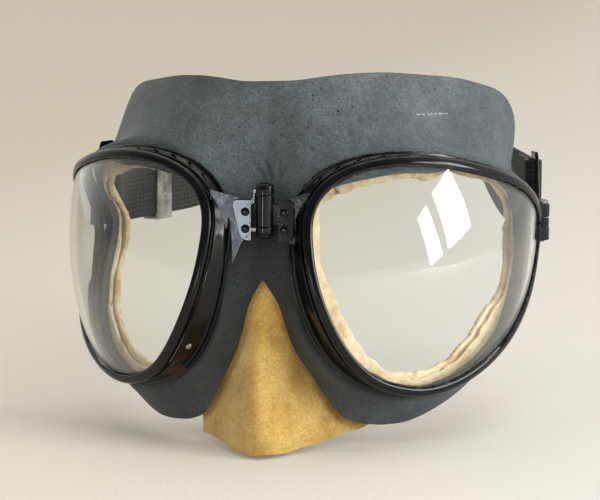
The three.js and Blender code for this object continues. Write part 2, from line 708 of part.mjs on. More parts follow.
function pinGeometry() {
  const rows = [[0, BARREL_LOW - KNUCKLE_GAP - PIN_DOME]];
  for (let i = 1; i <= 5; i++) {
    const a = (i / 5) * Math.PI / 2;
    rows.push([HINGE_RADIUS * Math.sin(a), BARREL_LOW - KNUCKLE_GAP - PIN_DOME * Math.cos(a)]);
  }
  rows.push([PIN_RADIUS, BARREL_LOW - KNUCKLE_GAP]);
  rows.push([PIN_RADIUS, BARREL_HIGH + KNUCKLE_GAP]);
  for (let i = 5; i >= 1; i--) {
    const a = (i / 5) * Math.PI / 2;
    rows.push([HINGE_RADIUS * Math.sin(a), BARREL_HIGH + KNUCKLE_GAP + PIN_DOME * Math.cos(a)]);
  }
  rows.push([0, BARREL_HIGH + KNUCKLE_GAP + PIN_DOME]);
  const g = new THREE.LatheGeometry(rows.map(([x, y]) => new THREE.Vector2(x, y)), ROUND_STEPS);
  g.rotateX(Math.PI / 2);
  g.translate(HINGE_X, HINGE_Y, 0);
  return g;
}

// A rivet along Y through the leaf and the ear, with a domed head in front and a flat one behind.
function rivetGeometry(side, z) {
  const front = LEAF_FRONT_Y - 0.15;
  const back = EAR_BACK_Y + 0.15;
  const profile = [
    [0, front - RIVET_HEAD_HEIGHT],
    [RIVET_HEAD_RADIUS * 0.6, front - RIVET_HEAD_HEIGHT * 0.85],
    [RIVET_HEAD_RADIUS, front - RIVET_HEAD_HEIGHT * 0.2],
    [RIVET_HEAD_RADIUS, front],
    [RIVET_RADIUS, front],
    [RIVET_RADIUS, back],
    [RIVET_HEAD_RADIUS * 0.9, back],
    [RIVET_HEAD_RADIUS * 0.9, back + 0.25],
    [0, back + 0.25],
  ];
  const g = new THREE.LatheGeometry(profile.map(([x, y]) => new THREE.Vector2(x, y)), SMALL_ROUND_STEPS);
  g.translate(side * HINGE_X + RIVET_X, 0, z);
  return g;
}

// The face: an oval wrap round the head that slopes back at the forehead, widens at the cheeks and swells at the nose.
const FACE_FRONT_Y = HINGE_Y + FACE_BEHIND_HINGE;

function noseSwell(x, z) {
  const across = Math.max(1 - (x / NOSE_BULGE_HALF) ** 2, 0);
  return NOSE_BULGE * across * across * (1 - THREE.MathUtils.smoothstep(z, NOSE_BULGE_FROM_Z, NOSE_BULGE_TO_Z));
}

function headHalf(z) {
  const low = THREE.MathUtils.smoothstep(z, CHEEK_LEVEL_Z, TEMPLE_LEVEL_Z);
  return THREE.MathUtils.lerp(HEAD_HALF_WIDTH_CHEEK, HEAD_HALF_WIDTH_TOP, low);
}

function facePoint(angle, z) {
  const rise = Math.max(z - FOREHEAD_FROM_Z, 0) * FOREHEAD_SLOPE;
  const x = headHalf(z) * Math.sin(angle);
  return V(x, FACE_FRONT_Y + HEAD_LENGTH * (1 - Math.cos(angle)) + rise - noseSwell(x, z), z);
}

const faceAt = (x, z) => facePoint(Math.asin(x / headHalf(z)), z);

// Half width of the nose arch at a height below its crown, as shares of its height.
const ARCH_SHARES = [[0, 0], [0.098, 0.17], [0.14, 0.319], [0.198, 0.489], [0.304, 0.681], [0.417, 0.872], [0.515, 1]];
const ARCH = new THREE.SplineCurve(ARCH_SHARES.map(([x, z]) =>
  new THREE.Vector2(x * ARCH_HEIGHT, ARCH_CROWN_Z - z * ARCH_HEIGHT)));
const ARCH_FOOT_Z = ARCH_CROWN_Z - ARCH_HEIGHT;
const ARCH_FOOT_HALF = ARCH_SHARES[ARCH_SHARES.length - 1][0] * ARCH_HEIGHT;
const STRIP_FOOT_Z = ARCH.getSpacedPoints(80).find((p) => p.x >= BRIDGE_HALF).y;

// The mask half's edge, anticlockwise from the top of the bridge strip: angle round the head in degrees, share of the top height.
const EDGE_TOP = [[4.2, 0.966], [8, 0.968], [15.6, 0.985], [23, 0.992], [31, 0.985], [40, 0.963], [50, 0.935], [60, 0.884]];
const EDGE_END = [[67, 0.84], [73, 0.763], [76.6, 0.662], [75.6, 0.54], [72, 0.42], [70.4, 0.26], [70, 0.08], [69, -0.123], [64.5, -0.328], [57.8, -0.5]];
const EDGE_CHEEK = [[51, -0.606], [44.4, -0.672], [38, -0.721], [33, -0.745], [27.5, -0.745], [22.5, -0.732]];
const STRIP_TOP_Z = EDGE_TOP[0][1] * MASK_TOP_Z;

// The rubber sits a little askew: it lies to the right of the eyecups and rises to that side.
const askew = (x) => MASK_SHIFT * THREE.MathUtils.smoothstep(x, MASK_SHIFT_FROM_X, MASK_SHIFT_FULL_X);
const temple = (x, side) => 1 - (side < 0 ? THREE.MathUtils.smoothstep(x, MASK_TEMPLE_FROM_X, MASK_TEMPLE_X) : 0);

function maskEdge(side) {
  const outer = new THREE.SplineCurve([...EDGE_TOP, ...EDGE_END, ...EDGE_CHEEK]
    .map(([a, z]) => new THREE.Vector2(a, z * MASK_TOP_Z)));
  const points = outer.getSpacedPoints(40).map((p) => facePoint(rad(p.x), p.y));
  // The nose arch, from the cheek up to the bridge strip.
  const arch = ARCH.getSpacedPoints(40).reverse().filter((p) => p.x > BRIDGE_HALF + 0.6 && p.y > ARCH_FOOT_Z + 1.5);
  for (let i = 0; i < arch.length; i += 3) points.push(faceAt(arch[i].x, arch[i].y));
  // The strip's side, from the arch up to the forehead.
  const rows = 9;
  for (let i = 0; i < rows; i++) {
    points.push(faceAt(BRIDGE_HALF, THREE.MathUtils.lerp(STRIP_FOOT_Z, STRIP_TOP_Z, i / rows)));
  }
  return points.map((p) => {
    const tilt = MASK_TILT + MASK_BROW_TILT * THREE.MathUtils.smoothstep(p.z, 0, FOREHEAD_FROM_Z);
    return V(p.x + side * askew(p.x) * temple(p.x, side), p.y, p.z + side * tilt * p.x);
  });
}

// For a face point, the rim station that lies in the same direction from the lens middle.
const EYE_BACK = EYE.clone().invert();
function stationTowards(p) {
  const local = p.clone().applyMatrix4(EYE_BACK);
  const want = Math.atan2(local.z, local.x);
  let best = 0;
  let least = Infinity;
  for (let i = 0; i < 1440; i++) {
    const t = (i / 1440) * 2 * Math.PI;
    const [u, v] = outline(t);
    const gap = Math.abs(Math.atan2(Math.sin(Math.atan2(v, u) - want), Math.cos(Math.atan2(v, u) - want)));
    if (gap < least) {
      least = gap;
      best = t;
    }
  }
  return station(best);
}

// How far the rubber reaches out flat behind the flange: less beside the hinge and the closing lugs.
function besideHinge(s) {
  const degrees = THREE.MathUtils.radToDeg(s.t);
  return THREE.MathUtils.smoothstep(degrees, 118, 146) * (1 - THREE.MathUtils.smoothstep(degrees, 190, 215));
}
function underFlange(s) {
  const degrees = THREE.MathUtils.radToDeg(s.t);
  const lugs = Math.exp(-(((degrees - LUG_ANGLE + 6) / 22) ** 2));
  return THREE.MathUtils.lerp(MASK_UNDER_FLANGE, 0.3, Math.max(besideHinge(s), lugs * 0.8));
}

// At the temple the rubber ends in a short hem right behind the flange.
function hemShare(p) {
  const level = THREE.MathUtils.smoothstep(p.z, -30, -18) * (1 - THREE.MathUtils.smoothstep(p.z, 23, 34));
  return level * THREE.MathUtils.smoothstep(p.x, 50, 58);
}

const maskFront = (s) => shellDepth(s) + MASK_GAP;

// Above the eyecups the sheet runs straight back from the flange to the head, and then up along it.
function skirtShare(s) {
  const degrees = THREE.MathUtils.radToDeg(s.t);
  const brow = 1 - 0.8 * THREE.MathUtils.smoothstep(degrees, 88, 112);
  return brow * THREE.MathUtils.smoothstep(degrees, 50, 66) * (1 - THREE.MathUtils.smoothstep(degrees, 125, 146));
}

const foreheadRise = (z) => Math.max(z - FOREHEAD_FROM_Z, 0) * FOREHEAD_SLOPE;

// Where a line straight back from the flange meets the head.
function headBehind(seat) {
  const back = V(0, 1, 0).transformDirection(EYE);
  let near = 0;
  let far = HEAD_LENGTH / 2;
  for (let i = 0; i < 24; i++) {
    const middle = (near + far) / 2;
    const q = seat.clone().addScaledVector(back, middle);
    const behind = (q.y - FACE_FRONT_Y - foreheadRise(q.z) - HEAD_LENGTH) / (HEAD_LENGTH + MASK_SKIRT_STAND_OFF);
    if (Math.hypot(q.x / (headHalf(q.z) + MASK_SKIRT_STAND_OFF), behind) > 1) near = middle;
    else far = middle;
  }
  return seat.clone().addScaledVector(back, far);
}

const headAngle = (q) => Math.atan2(q.x / headHalf(q.z), 1 - (q.y - FACE_FRONT_Y - foreheadRise(q.z)) / HEAD_LENGTH);

// The sheet's front and back, from the lip inside the eyecup out to the edge.
const SKIRT_SHARES = [0.2, 0.4, 0.6, 0.8];

function maskProfile(p) {
  const s = stationTowards(p);
  const front = maskFront(s);
  const reach = underFlange(s);
  const hem = hemShare(p);
  const skirtWeight = skirtShare(s) * (1 - hem);
  const seat = onFace(away(s, reach, front));
  // Towards the head's inside, level.
  const inwards = V(0, FACE_FRONT_Y + HEAD_LENGTH, p.z).sub(p).setZ(0).normalize();
  const edgeBack = p.clone().addScaledVector(inwards, MASK_EDGE_THICKNESS);
  edgeBack.lerp(onFace(away(s, reach + MASK_TEMPLE_HEM * 0.5, front + MASK_EDGE_THICKNESS + 0.4)), hem);
  p.lerp(onFace(away(s, reach + MASK_TEMPLE_HEM, front + 0.6)), hem);
  const foot = headBehind(seat);
  foot.z -= MASK_SKIRT_DROP;
  const angle = (headAngle(foot) + headAngle(p)) / 2;
  const along = facePoint(angle, (foot.z + p.z) / 2);
  along.addScaledVector(V(Math.sin(angle), -Math.cos(angle), 0), MASK_SKIRT_STAND_OFF);
  const skirt = new THREE.CubicBezierCurve3(seat, foot, along, p);
  const sheetFront = SKIRT_SHARES.map((share) => seat.clone().lerp(p, share).lerp(skirt.getPoint(share), skirtWeight));
  // Where the sheet turns back from the flange, its inner corner is mitred.
  const next = seat.clone().lerp(sheetFront[0], skirtWeight).lerp(p, 1 - skirtWeight).applyMatrix4(EYE_BACK);
  const out = (next.x - s.u) * s.nu + (next.z - s.v) * s.nv - reach;
  const behind = next.y - s.depth - front;
  const length = Math.hypot(out, behind);
  const mitre = 1 + Math.max(out / length, -0.3);
  const seatBack = onFace(away(
    s,
    reach - (MASK_THICKNESS * Math.max(behind / length, 0)) / mitre,
    front + MASK_THICKNESS,
  ));
  return {
    skirtWeight,
    front: [seat, ...sheetFront, p],
    back: [seatBack, ...SKIRT_SHARES.map((share) => seatBack.clone().lerp(edgeBack, share)), edgeBack],
    lip: onFace(away(s, -MASK_LIP_INSIDE, front)),
    middle: onFace(away(s, -0.6, front)),
    lipBack: onFace(away(s, -MASK_LIP_INSIDE, front + MASK_THICKNESS * 0.8)),
  };
}

function maskGeometry(side) {
  const profiles = maskEdge(side).map(maskProfile);
  const rows = profiles.length;
  const sections = profiles.map(({ front, back, lip, middle, lipBack, skirtWeight }, i) => {
    // The back of the skirt lies one thickness behind its front, square to the sheet.
    for (let k = 1; k < front.length - 1; k++) {
      const along = front[k + 1].clone().sub(front[k - 1]);
      const round = profiles[(i + 1) % rows].front[k].clone().sub(profiles[(i + rows - 1) % rows].front[k]);
      const square = along.cross(round).normalize();
      back[k].lerp(front[k].clone().addScaledVector(square, MASK_THICKNESS), skirtWeight);
    }
    return [lip, middle, ...front, ...back.reverse(), lipBack];
  });
  return ring(sections);
}

function liningGeometry() {
  return ring(stations.map((s) => {
    const front = maskFront(s) + MASK_THICKNESS + LINING_GAP;
    const thick = LINING_THICKNESS_MEAN + LINING_THICKNESS_SWING * s.swing;
    const inside = LINING_INSIDE_MEAN - LINING_INSIDE_SWING * s.swing + LINING_NOSE_INSIDE * Math.max(-s.swing, 0);
    const outside = LINING_OUTSIDE - LINING_NOSE_TRIM * besideHinge(s);
    return [
      away(s, -inside, front + 0.5),
      away(s, -inside + 0.5, front),
      away(s, outside - 0.5, front),
      away(s, outside, front + 0.5),
      away(s, outside - 0.4, front + thick - 0.6),
      away(s, outside - 1.2, front + thick),
      away(s, -inside + 0.8, front + thick),
      away(s, -inside, front + thick - 0.6),
    ];
  }));
}

// The strip of mask behind the hinge.
function bridgeGeometry() {
  const front = [];
  const back = [];
  const rows = 12;
  const crown = ARCH.getSpacedPoints(160);
  for (let i = 0; i <= rows; i++) {
    const f = [];
    const b = [];
    for (let j = -4; j <= 4; j++) {
      const x = (j / 4) * (BRIDGE_HALF - MASK_GAP);
      const foot = crown.find((p) => p.x >= Math.abs(x)).y;
      const z = THREE.MathUtils.lerp(foot, STRIP_TOP_Z - 0.2, i / rows);
      const p = faceAt(Math.abs(x), z);
      f.push(V(x, p.y, z));
      b.push(V(x, p.y + MASK_EDGE_THICKNESS, z));
    }
    front.push(f);
    back.push(b);
  }
  return sheet(front, back);
}

// Nose guard: a tent over the nose, lapped behind the edges of the arch, with its lower corners raised.
function guardGeometry() {
  const front = [];
  const back = [];
  const rows = 14;
  const crown = ARCH.getPoints(160);
  const archHalf = (z) => {
    const found = crown.find((p) => p.y <= z);
    return found ? found.x : ARCH_FOOT_HALF + (ARCH_FOOT_Z - z) * 0.15;
  };
  for (let i = 0; i <= rows; i++) {
    const share = i / rows;
    const level = THREE.MathUtils.lerp(GUARD_TOP_Z, GUARD_BOTTOM_Z, share);
    const middle = askew(archHalf(level)) + GUARD_SWAY * share * share;
    const f = [];
    const b = [];
    for (let j = -7; j <= 7; j++) {
      const across = j / 7;
      const corner = across < 0 ? GUARD_LEFT_RISE : GUARD_RIGHT_RISE;
      const half = archHalf(level) + GUARD_LAP - (across < 0 ? GUARD_LEFT_TRIM * share * share : 0);
      const z = level + corner * across * across * share * share;
      const x = middle + half * across;
      const rest = faceAt(Math.abs(x), Math.max(z, ARCH_FOOT_Z)).y;
      const open = Math.max(archHalf(z) - 0.4, 0.1);
      const reach = Math.min(Math.abs(x - askew(archHalf(z))) / open, 1);
      const bulge = GUARD_BULGE * (1 - THREE.MathUtils.smoothstep(level, GUARD_BOTTOM_Z, GUARD_BULGE_FROM_Z));
      const y = rest + MASK_THICKNESS + GUARD_GAP - bulge * Math.max(Math.cos((reach * Math.PI) / 2), 0) ** GUARD_ROUNDNESS;
      f.push(V(x, y, z));
      b.push(V(x, y + GUARD_THICKNESS, z));
    }
    front.push(f);
    back.push(b);
  }
  return sheet(front, back);
}

// Strap: a band on edge, from the free tail on the left round the back to the sewn end on the right.
const LAYER = STRAP_THICKNESS + STRAP_LAYER_GAP;
const STRAP_START = V(TAB_X - LUG_X, TAB_BAR_Y - LUG_Y, 0).applyAxisAngle(V(0, 0, 1), TOE).add(V(LUG_X, LUG_Y, 0));
const ALONG = V(-Math.sin(TOE), Math.cos(TOE), 0);
const ACROSS = V(Math.cos(TOE), Math.sin(TOE), 0);
const TURN_RADIUS = TAB_BAR / 2 + 1.2;

function strapPath() {
  const right = [];
  // Sewn tail inside the band, up to the bar, round it and away.
  const lane = (distance, offset) => STRAP_START.clone().addScaledVector(ALONG, distance).addScaledVector(ACROSS, offset);
  for (const d of [STRAP_SEWN_TAIL, STRAP_SEWN_TAIL * 0.66, STRAP_MEETS]) right.push(lane(d, -LAYER / 2));
  for (let i = 0; i <= 6; i++) {
    const a = Math.PI + (i / 6) * Math.PI;
    const spread = TURN_RADIUS;
    right.push(lane(Math.sin(a) * spread, Math.cos(a) * spread));
  }
  for (const d of [STRAP_MEETS, STRAP_STRAIGHT * 0.5, STRAP_STRAIGHT * 0.96, STRAP_STRAIGHT]) right.push(lane(d, LAYER / 2));
  const from = right[right.length - 1];
  const curve = new THREE.CubicBezierCurve3(
    from,
    from.clone().addScaledVector(ALONG, STRAP_LEAD),
    V(STRAP_BACK_HALF, STRAP_BACK_Y, 0),
    V(0, STRAP_BACK_Y, 0),
  );
  const back = curve.getPoints(14).slice(1);
  const half = [...right, ...back];
  // The left half mirrors it, but its outer layer is the long free tail.
  const left = [];
  const mirror = (p) => V(-p.x, p.y, p.z);
  for (const p of back.slice(0, -1).reverse()) left.push(mirror(p));
  for (const d of [STRAP_STRAIGHT, STRAP_STRAIGHT * 0.96, STRAP_STRAIGHT * 0.5, STRAP_MEETS]) {
    left.push(mirror(lane(d, -LAYER / 2)));
  }
  for (let i = 0; i <= 6; i++) {
    const a = Math.PI + (i / 6) * Math.PI;
    left.push(mirror(lane(Math.sin(a) * TURN_RADIUS, Math.cos(a) * TURN_RADIUS)));
  }
  for (const d of [STRAP_MEETS, STRAP_FREE_TAIL * 0.5, STRAP_FREE_TAIL]) left.push(mirror(lane(d, LAYER / 2)));
  return [...half, ...left];
}

function strapGeometry() {
  const path = strapPath();
  const sections = path.map((p, i) => {
    const a = path[Math.max(i - 1, 0)];
    const b = path[Math.min(i + 1, path.length - 1)];
    const tangent = b.clone().sub(a).normalize();
    const normal = V(tangent.y, -tangent.x, 0);
    const rise = STRAP_BACK_RISE * THREE.MathUtils.smoothstep(p.y, STRAP_RISE_FROM_Y, STRAP_BACK_Y);
    const middle = TAB_MIDDLE_Z + rise;
    const at = (side, z) => p.clone().addScaledVector(normal, (side * STRAP_THICKNESS) / 2).setZ(middle + z);
    const h = STRAP_WIDTH / 2;
    return [at(-1, -h), at(1, -h), at(1, h), at(-1, h)];
  });
  return bar(sections);
}

// Slide: a flat frame round both layers, with a middle bar in front.
function slideGeometry() {
  const inner = LAYER / 2 + STRAP_THICKNESS / 2 + SLIDE_CLEARANCE;
  const outer = inner + SLIDE_METAL;
  const halfHeight = STRAP_WIDTH / 2 + SLIDE_CLEARANCE + SLIDE_METAL;
  const half = SLIDE_LENGTH / 2;
  let slide = toSolid(block(-outer, outer, -half, half, -halfHeight, halfHeight));
  slide = slide.subtract(toSolid(block(-inner, inner, -half - 1, half + 1, -halfHeight + SLIDE_METAL, halfHeight - SLIDE_METAL)));
  // Two windows in the outer face leave a middle bar.
  for (const side of [-1, 1]) {
    const y0 = side < 0 ? -half + 1.4 : SLIDE_BAR / 2;
    const y1 = side < 0 ? -SLIDE_BAR / 2 : half - 1.4;
    slide = slide.subtract(toSolid(block(inner - 0.2, outer + 1, y0, y1, -halfHeight + 3, halfHeight - 3)));
  }
  const g = fromSolid(slide);
  g.rotateZ(TOE);
  const at = STRAP_START.clone().addScaledVector(ALONG, SLIDE_AT);
  g.translate(at.x, at.y, TAB_MIDDLE_Z);
  return g;
}

// The assembly. The left side mirrors the right one.
const goggles = new THREE.Group();
const rightSide = new THREE.Group();
const leftSide = new THREE.Group();
leftSide.scale.x = -1;
goggles.add(rightSide, leftSide);

function piece(parent, name, geometry, material) {
  const mesh = new THREE.Mesh(geometry, material);
  mesh.name = name;
  parent.add(mesh);
  return mesh;
}

const lens = faceGeometry(lensGeometry());
const rim = rimGeometry();
const screw = screwGeometry();
const tab = tabGeometry();
const lining = faceGeometry(liningGeometry());

for (const [group, side, tag] of [[rightSide, 1, 'right'], [leftSide, -1, 'left']]) {
  piece(group, `lens_${tag}`, lens, glass());
  piece(group, `lens_rim_${tag}`, rim, enamel());
  piece(group, `rim_screw_${tag}`, screw, steel());
  piece(group, `strap_tab_${tag}`, tab, enamel());
  piece(group, `eyecup_shell_${tag}`, shellGeometry(side), enamel());
  piece(group, `mask_${tag}`, maskGeometry(side), rubber());
  piece(group, `lining_${tag}`, lining, cream());
  piece(group, `leaf_rivet_lower_${tag}`, rivetGeometry(side, LEAF_Z - RIVET_SPREAD), steel());
  piece(group, `leaf_rivet_upper_${tag}`, rivetGeometry(side, LEAF_Z + RIVET_SPREAD), steel());
}
piece(goggles, 'hinge_leaf_right', leafGeometry([[MIDDLE_LOW, MIDDLE_HIGH]], 1), enamel());
piece(goggles, 'hinge_leaf_left', leafGeometry([
  [BARREL_LOW, MIDDLE_LOW - KNUCKLE_GAP],
  [MIDDLE_HIGH + KNUCKLE_GAP, BARREL_HIGH],
], -1), enamel());
piece(goggles, 'hinge_pin', pinGeometry(), steel());
piece(goggles, 'mask_bridge', bridgeGeometry(), rubber());
piece(goggles, 'nose_guard', guardGeometry(), chamois());
piece(goggles, 'strap', strapGeometry(), webbing());
piece(leftSide, 'strap_slide', slideGeometry(), steel());

export default goggles;
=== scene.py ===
import collections
import math
import random

import bmesh
import bpy
from mathutils import Matrix, Quaternion, Vector, noise


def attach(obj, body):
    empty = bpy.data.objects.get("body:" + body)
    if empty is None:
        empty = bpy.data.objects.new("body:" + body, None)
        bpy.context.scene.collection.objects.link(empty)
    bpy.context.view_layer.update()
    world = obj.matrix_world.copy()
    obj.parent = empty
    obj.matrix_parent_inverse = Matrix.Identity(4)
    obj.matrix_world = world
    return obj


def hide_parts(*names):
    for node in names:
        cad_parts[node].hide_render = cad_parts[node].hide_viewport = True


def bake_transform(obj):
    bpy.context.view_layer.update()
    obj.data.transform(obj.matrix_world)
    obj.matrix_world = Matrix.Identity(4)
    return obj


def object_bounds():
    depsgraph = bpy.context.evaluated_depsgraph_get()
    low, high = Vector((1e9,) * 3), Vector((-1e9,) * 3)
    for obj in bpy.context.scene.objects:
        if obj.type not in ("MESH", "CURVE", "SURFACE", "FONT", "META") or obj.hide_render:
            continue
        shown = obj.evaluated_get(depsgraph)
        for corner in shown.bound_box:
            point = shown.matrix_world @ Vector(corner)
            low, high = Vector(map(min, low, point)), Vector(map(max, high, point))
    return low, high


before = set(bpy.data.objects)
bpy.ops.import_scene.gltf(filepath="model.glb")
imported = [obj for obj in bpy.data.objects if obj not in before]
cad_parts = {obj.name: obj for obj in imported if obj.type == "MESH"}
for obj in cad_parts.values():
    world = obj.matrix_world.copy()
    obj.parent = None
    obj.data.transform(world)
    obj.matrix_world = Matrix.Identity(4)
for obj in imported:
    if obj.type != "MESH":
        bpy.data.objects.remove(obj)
cad_low, cad_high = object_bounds()

# Sizes are in millimetres, +Z up, the front faces -Y and +X is the viewer's right.
MM = 0.001
RING_POINTS = 160
LINING_POINTS = 320

# Lens: a rounded outline that widens upwards and leans out, on a toric surface.
LENS_HALF_WIDTH = 45
LENS_HALF_HEIGHT = 37
LENS_SQUARENESS = 2.3
LENS_TAPER = 0.33
LENS_SLANT = 0.16
LENS_RADIUS_ACROSS = 63
LENS_RADIUS_UP = 92
LENS_THICKNESS = 2
LENS_EDGE_INSET = 0.3
LENS_EDGE_ROUND = 0.25
NOSE_EDGE_X = 16.17
LENS_WRAP = 46
LENS_ROLL = 16
LENS_LEAN = 2

# Rim, closing lugs and strap tab.
RIM_LIP = 1.6
RIM_OUTER = 1.6
RIM_CROWN = 1.2
RIM_REAR = 3.2
RIM_GROOVE = 2.5
RIM_CLEARANCE = 0.3
RIM_SPLIT = 0.9
LUG_ANGLE = 38
LUG_OUT = 2.7
LUG_PROUD = 1.3
LUG_RADIUS = 2.4
LUG_HEIGHT = 4.4
LUG_GAP = 0.3
KNUCKLE_HEIGHT = 2.8
SCREW_RADIUS = 0.95
SCREW_HEAD_RADIUS = 2
SCREW_HEAD_HEIGHT = 1.2
SCREW_CLEARANCE = 0.15
SCREW_SLOT_WIDTH = 0.5
TAB_THICKNESS = 1.2
TAB_RISE = 6.5
TAB_NECK = 3.4
TAB_TO_SLOT = 8.6
TAB_SET_IN = 0.8
TAB_CORNER = 1.4
TAB_SHOULDER = 4.4
TAB_SLOT_LENGTH = 27.4
TAB_SLOT_WIDTH = 3.2
TAB_BAR = 2.2
TAB_END = 2.4

# Eyecup shell.
SHELL_INNER = 0.5
SHELL_THICKNESS = 0.9
SHELL_DEPTH_LEAST = 6
SHELL_DEPTH_EXTRA = 5
SHELL_DEEPEST_ANGLE = 225
SHELL_DEEP_SPREAD = 45
FLANGE_REACH_MEAN = 2.8
FLANGE_REACH_SWING = 0.3
FLANGE_THICKNESS = 1
FLANGE_DENT_OUT = 0.22
FLANGE_DENT_BACK = 0.12
VENT_COUNT = 9
VENT_LENGTH = 3.4
VENT_WIDTH = 1.1
VENT_FIRST_ANGLE = 76
VENT_LAST_ANGLE = 148

# Bridge hinge.
HINGE_X = 2.2
HINGE_Z = 23.4
HINGE_STATION_ANGLE = 170
HINGE_IN_FRONT = 1.25
HINGE_RADIUS = 2.9
PIN_RADIUS = 1.1
PIN_CLEARANCE = 0.1
MIDDLE_KNUCKLE = 9.6
END_KNUCKLE = 2
KNUCKLE_GAP = 0.3
PIN_DOME = 1.5
LEAF_THICKNESS = 0.9
LEAF_HALF_HEIGHT = 6.6
LEAF_DROP = 3.2
LEAF_REACH = 9.2
LEAF_CORNER = 2.6
LEAF_FLARE = 2
LEAF_STAND_OFF = 1.3
LEAF_NARROWING = 1.2
EAR_THICKNESS = 0.9
EAR_INNER = 4.6
EAR_TOP_RISE = 2.6
EAR_FOOT_DROP = 7.4
SEAT_GAP = 0.3
RIVET_X = 6.3
RIVET_SPREAD = 2.7
RIVET_HEAD_RADIUS = 1.4
RIVET_HEAD_HEIGHT = 0.7
RIVET_SHANK_RADIUS = 0.8

# Rubber mask, cream lining and nose guard.
MASK_THICKNESS = 2.2
MASK_SEAT = 2.4
MASK_GAP = 0.36
MASK_UNDER_FLANGE = 4.4
MASK_TEMPLE_HEM = 1.2
HEAD_HALF_WIDTH_TOP = 69
HEAD_HALF_WIDTH_CHEEK = 74
HEAD_LENGTH = 92
FACE_BEHIND_HINGE = 10.6
FOREHEAD_SLOPE = 0.12
FOREHEAD_FROM_Z = 25
NOSE_BULGE = 4.6
NOSE_BULGE_HALF = 15
MASK_TOP_Z = 65
ARCH_HEIGHT = 48.2
ARCH_CROWN_Z = 0.7
MASK_SHIFT = 1.5
MASK_TILT = 0.02
MASK_BROW_TILT = 0.012
MASK_SKIRT_STAND_OFF = 3.9
MASK_SKIRT_DROP = 2.5
MASK_SKIRT_STEPS = 13
MASK_RIPPLE_BROAD = 0.22
MASK_RIPPLE_FINE = 0.1
LINING_GAP = 0.3
GUARD_THICKNESS = 1.1
GUARD_TOP_Z = 2
GUARD_BOTTOM_Z = -53.6
GUARD_LAP = 3.4
GUARD_GAP = 0.9
GUARD_BULGE = 16
GUARD_SWAY = 2
GUARD_LEFT_RISE = 1
GUARD_RIGHT_RISE = 6
GUARD_LEFT_TRIM = 2.6
GUARD_ROUNDNESS = 1.5
GUARD_ROWS = 56
GUARD_HALF_COLUMNS = 24
GUARD_FOLD = 0.9

# A small rivet low on the nose side of the left cup, given where it would be on the right.
CUP_RIVET_RADIUS = 1.2
CUP_RIVET_AT = (23.1, -13.5, -21)

# How far the rubber lip and the felt reach inside the rim: degrees from the temple over the top, and mm.
MASK_LIP = [
    (0, 1.6), (20, 1.6), (34, 3.4), (46, 4.6), (58, 5), (70, 2.6), (82, 0.8), (92, 1.8),
    (104, 4.6), (128, 5.8), (150, 5), (180, 3.2), (262, 3.2), (280, 0.6), (300, 0), (340, 0.2),
]
LINING_REACH = {
    1: [
        (0, 3.2), (20, 3.6), (40, 5), (52, 6), (64, 4.6), (80, 3), (92, 3.8), (104, 6.6), (122, 8.6),
        (150, 9.6), (175, 11.3), (200, 12.3), (228, 12.4), (242, 10.4), (258, 8), (272, 5), (290, 3.6),
        (312, 3.6), (330, 5), (344, 6),
    ],
    -1: [
        (0, 3), (20, 3.4), (45, 5), (65, 8), (85, 6.5), (100, 5.4), (120, 6.2), (150, 9), (180, 10.5),
        (220, 11), (250, 9), (275, 4.4), (290, 3.6), (312, 4.4), (330, 4.6), (345, 3.4),
    ],
}
FELT_THICKNESS_MEAN = 3
FELT_THICKNESS_SWING = 1.4
FELT_SPLIT = (0.38, 0.47)

# Strap and slide.
STRAP_WIDTH = 26
STRAP_THICKNESS = 1.5
STRAP_LAYER = 2
STRAP_BACK_Y = 195
STRAP_BACK_HALF = 40
STRAP_BACK_RISE = 14
STRAP_STRAIGHT = 52
STRAP_LEAD = 45
STRAP_MEETS = 7
STRAP_TOE_IN = 19
STRAP_SEWN_TAIL = 20
STRAP_FREE_TAIL = 50
SLIDE_AT = 27
SLIDE_LENGTH = 9
SLIDE_METAL = 1.2
SLIDE_CLEARANCE = 0.4
SLIDE_BAR = 2.2
SLIDE_SIDE = 1.4
SLIDE_END = 3
STITCH_ROWS = (14.5, 17.5)
STITCHES_A_ROW = 8
STITCH_SPACING = 3
STITCH_LENGTH = 2
STITCH_RADIUS = 0.22

# Camera, measured from the photograph at 600 by 500 pixels.
AZIMUTH = 13.03
ELEVATION = 8.33
ROLL = 0.09
DISTANCE = 0.750
TARGET = (0.0164, -0.02788, 0.01326)
FOCAL_PIXELS = 2444.5
IMAGE_WIDTH = 600
SENSOR_WIDTH = 36


def eased(value, low, high):
    share = min(max((value - low) / (high - low), 0.0), 1.0)
    return share * share * (3 - 2 * share)


def mixed(a, b, share):
    return a + (b - a) * share


def around(marks, degrees):
    """A size read off marks right round the rim, eased from mark to mark."""
    ring = [*marks, (360, marks[0][1])]
    for (a, low), (b, high) in zip(ring, ring[1:]):
        if degrees <= b:
            return mixed(low, high, eased(degrees, a, b))
    return marks[0][1]


# The lens outline and surface, in the eyecup's own frame: u outwards, d backwards, v up.
Station = collections.namedtuple("Station", "turn u v out_u out_v lean depth")


def outline(turn):
    def squared(x):
        return math.copysign(abs(x) ** (2 / LENS_SQUARENESS), x)
    v = LENS_HALF_HEIGHT * squared(math.sin(turn))
    u = LENS_HALF_WIDTH * squared(math.cos(turn)) * (1 + LENS_TAPER * v / LENS_HALF_HEIGHT) + LENS_SLANT * v
    return u, v


def sag(u, v, inset=0.0):
    across = LENS_RADIUS_ACROSS - inset
    up = LENS_RADIUS_UP - inset
    return inset + across - math.sqrt(across * across - u * u) + up - math.sqrt(up * up - v * v)


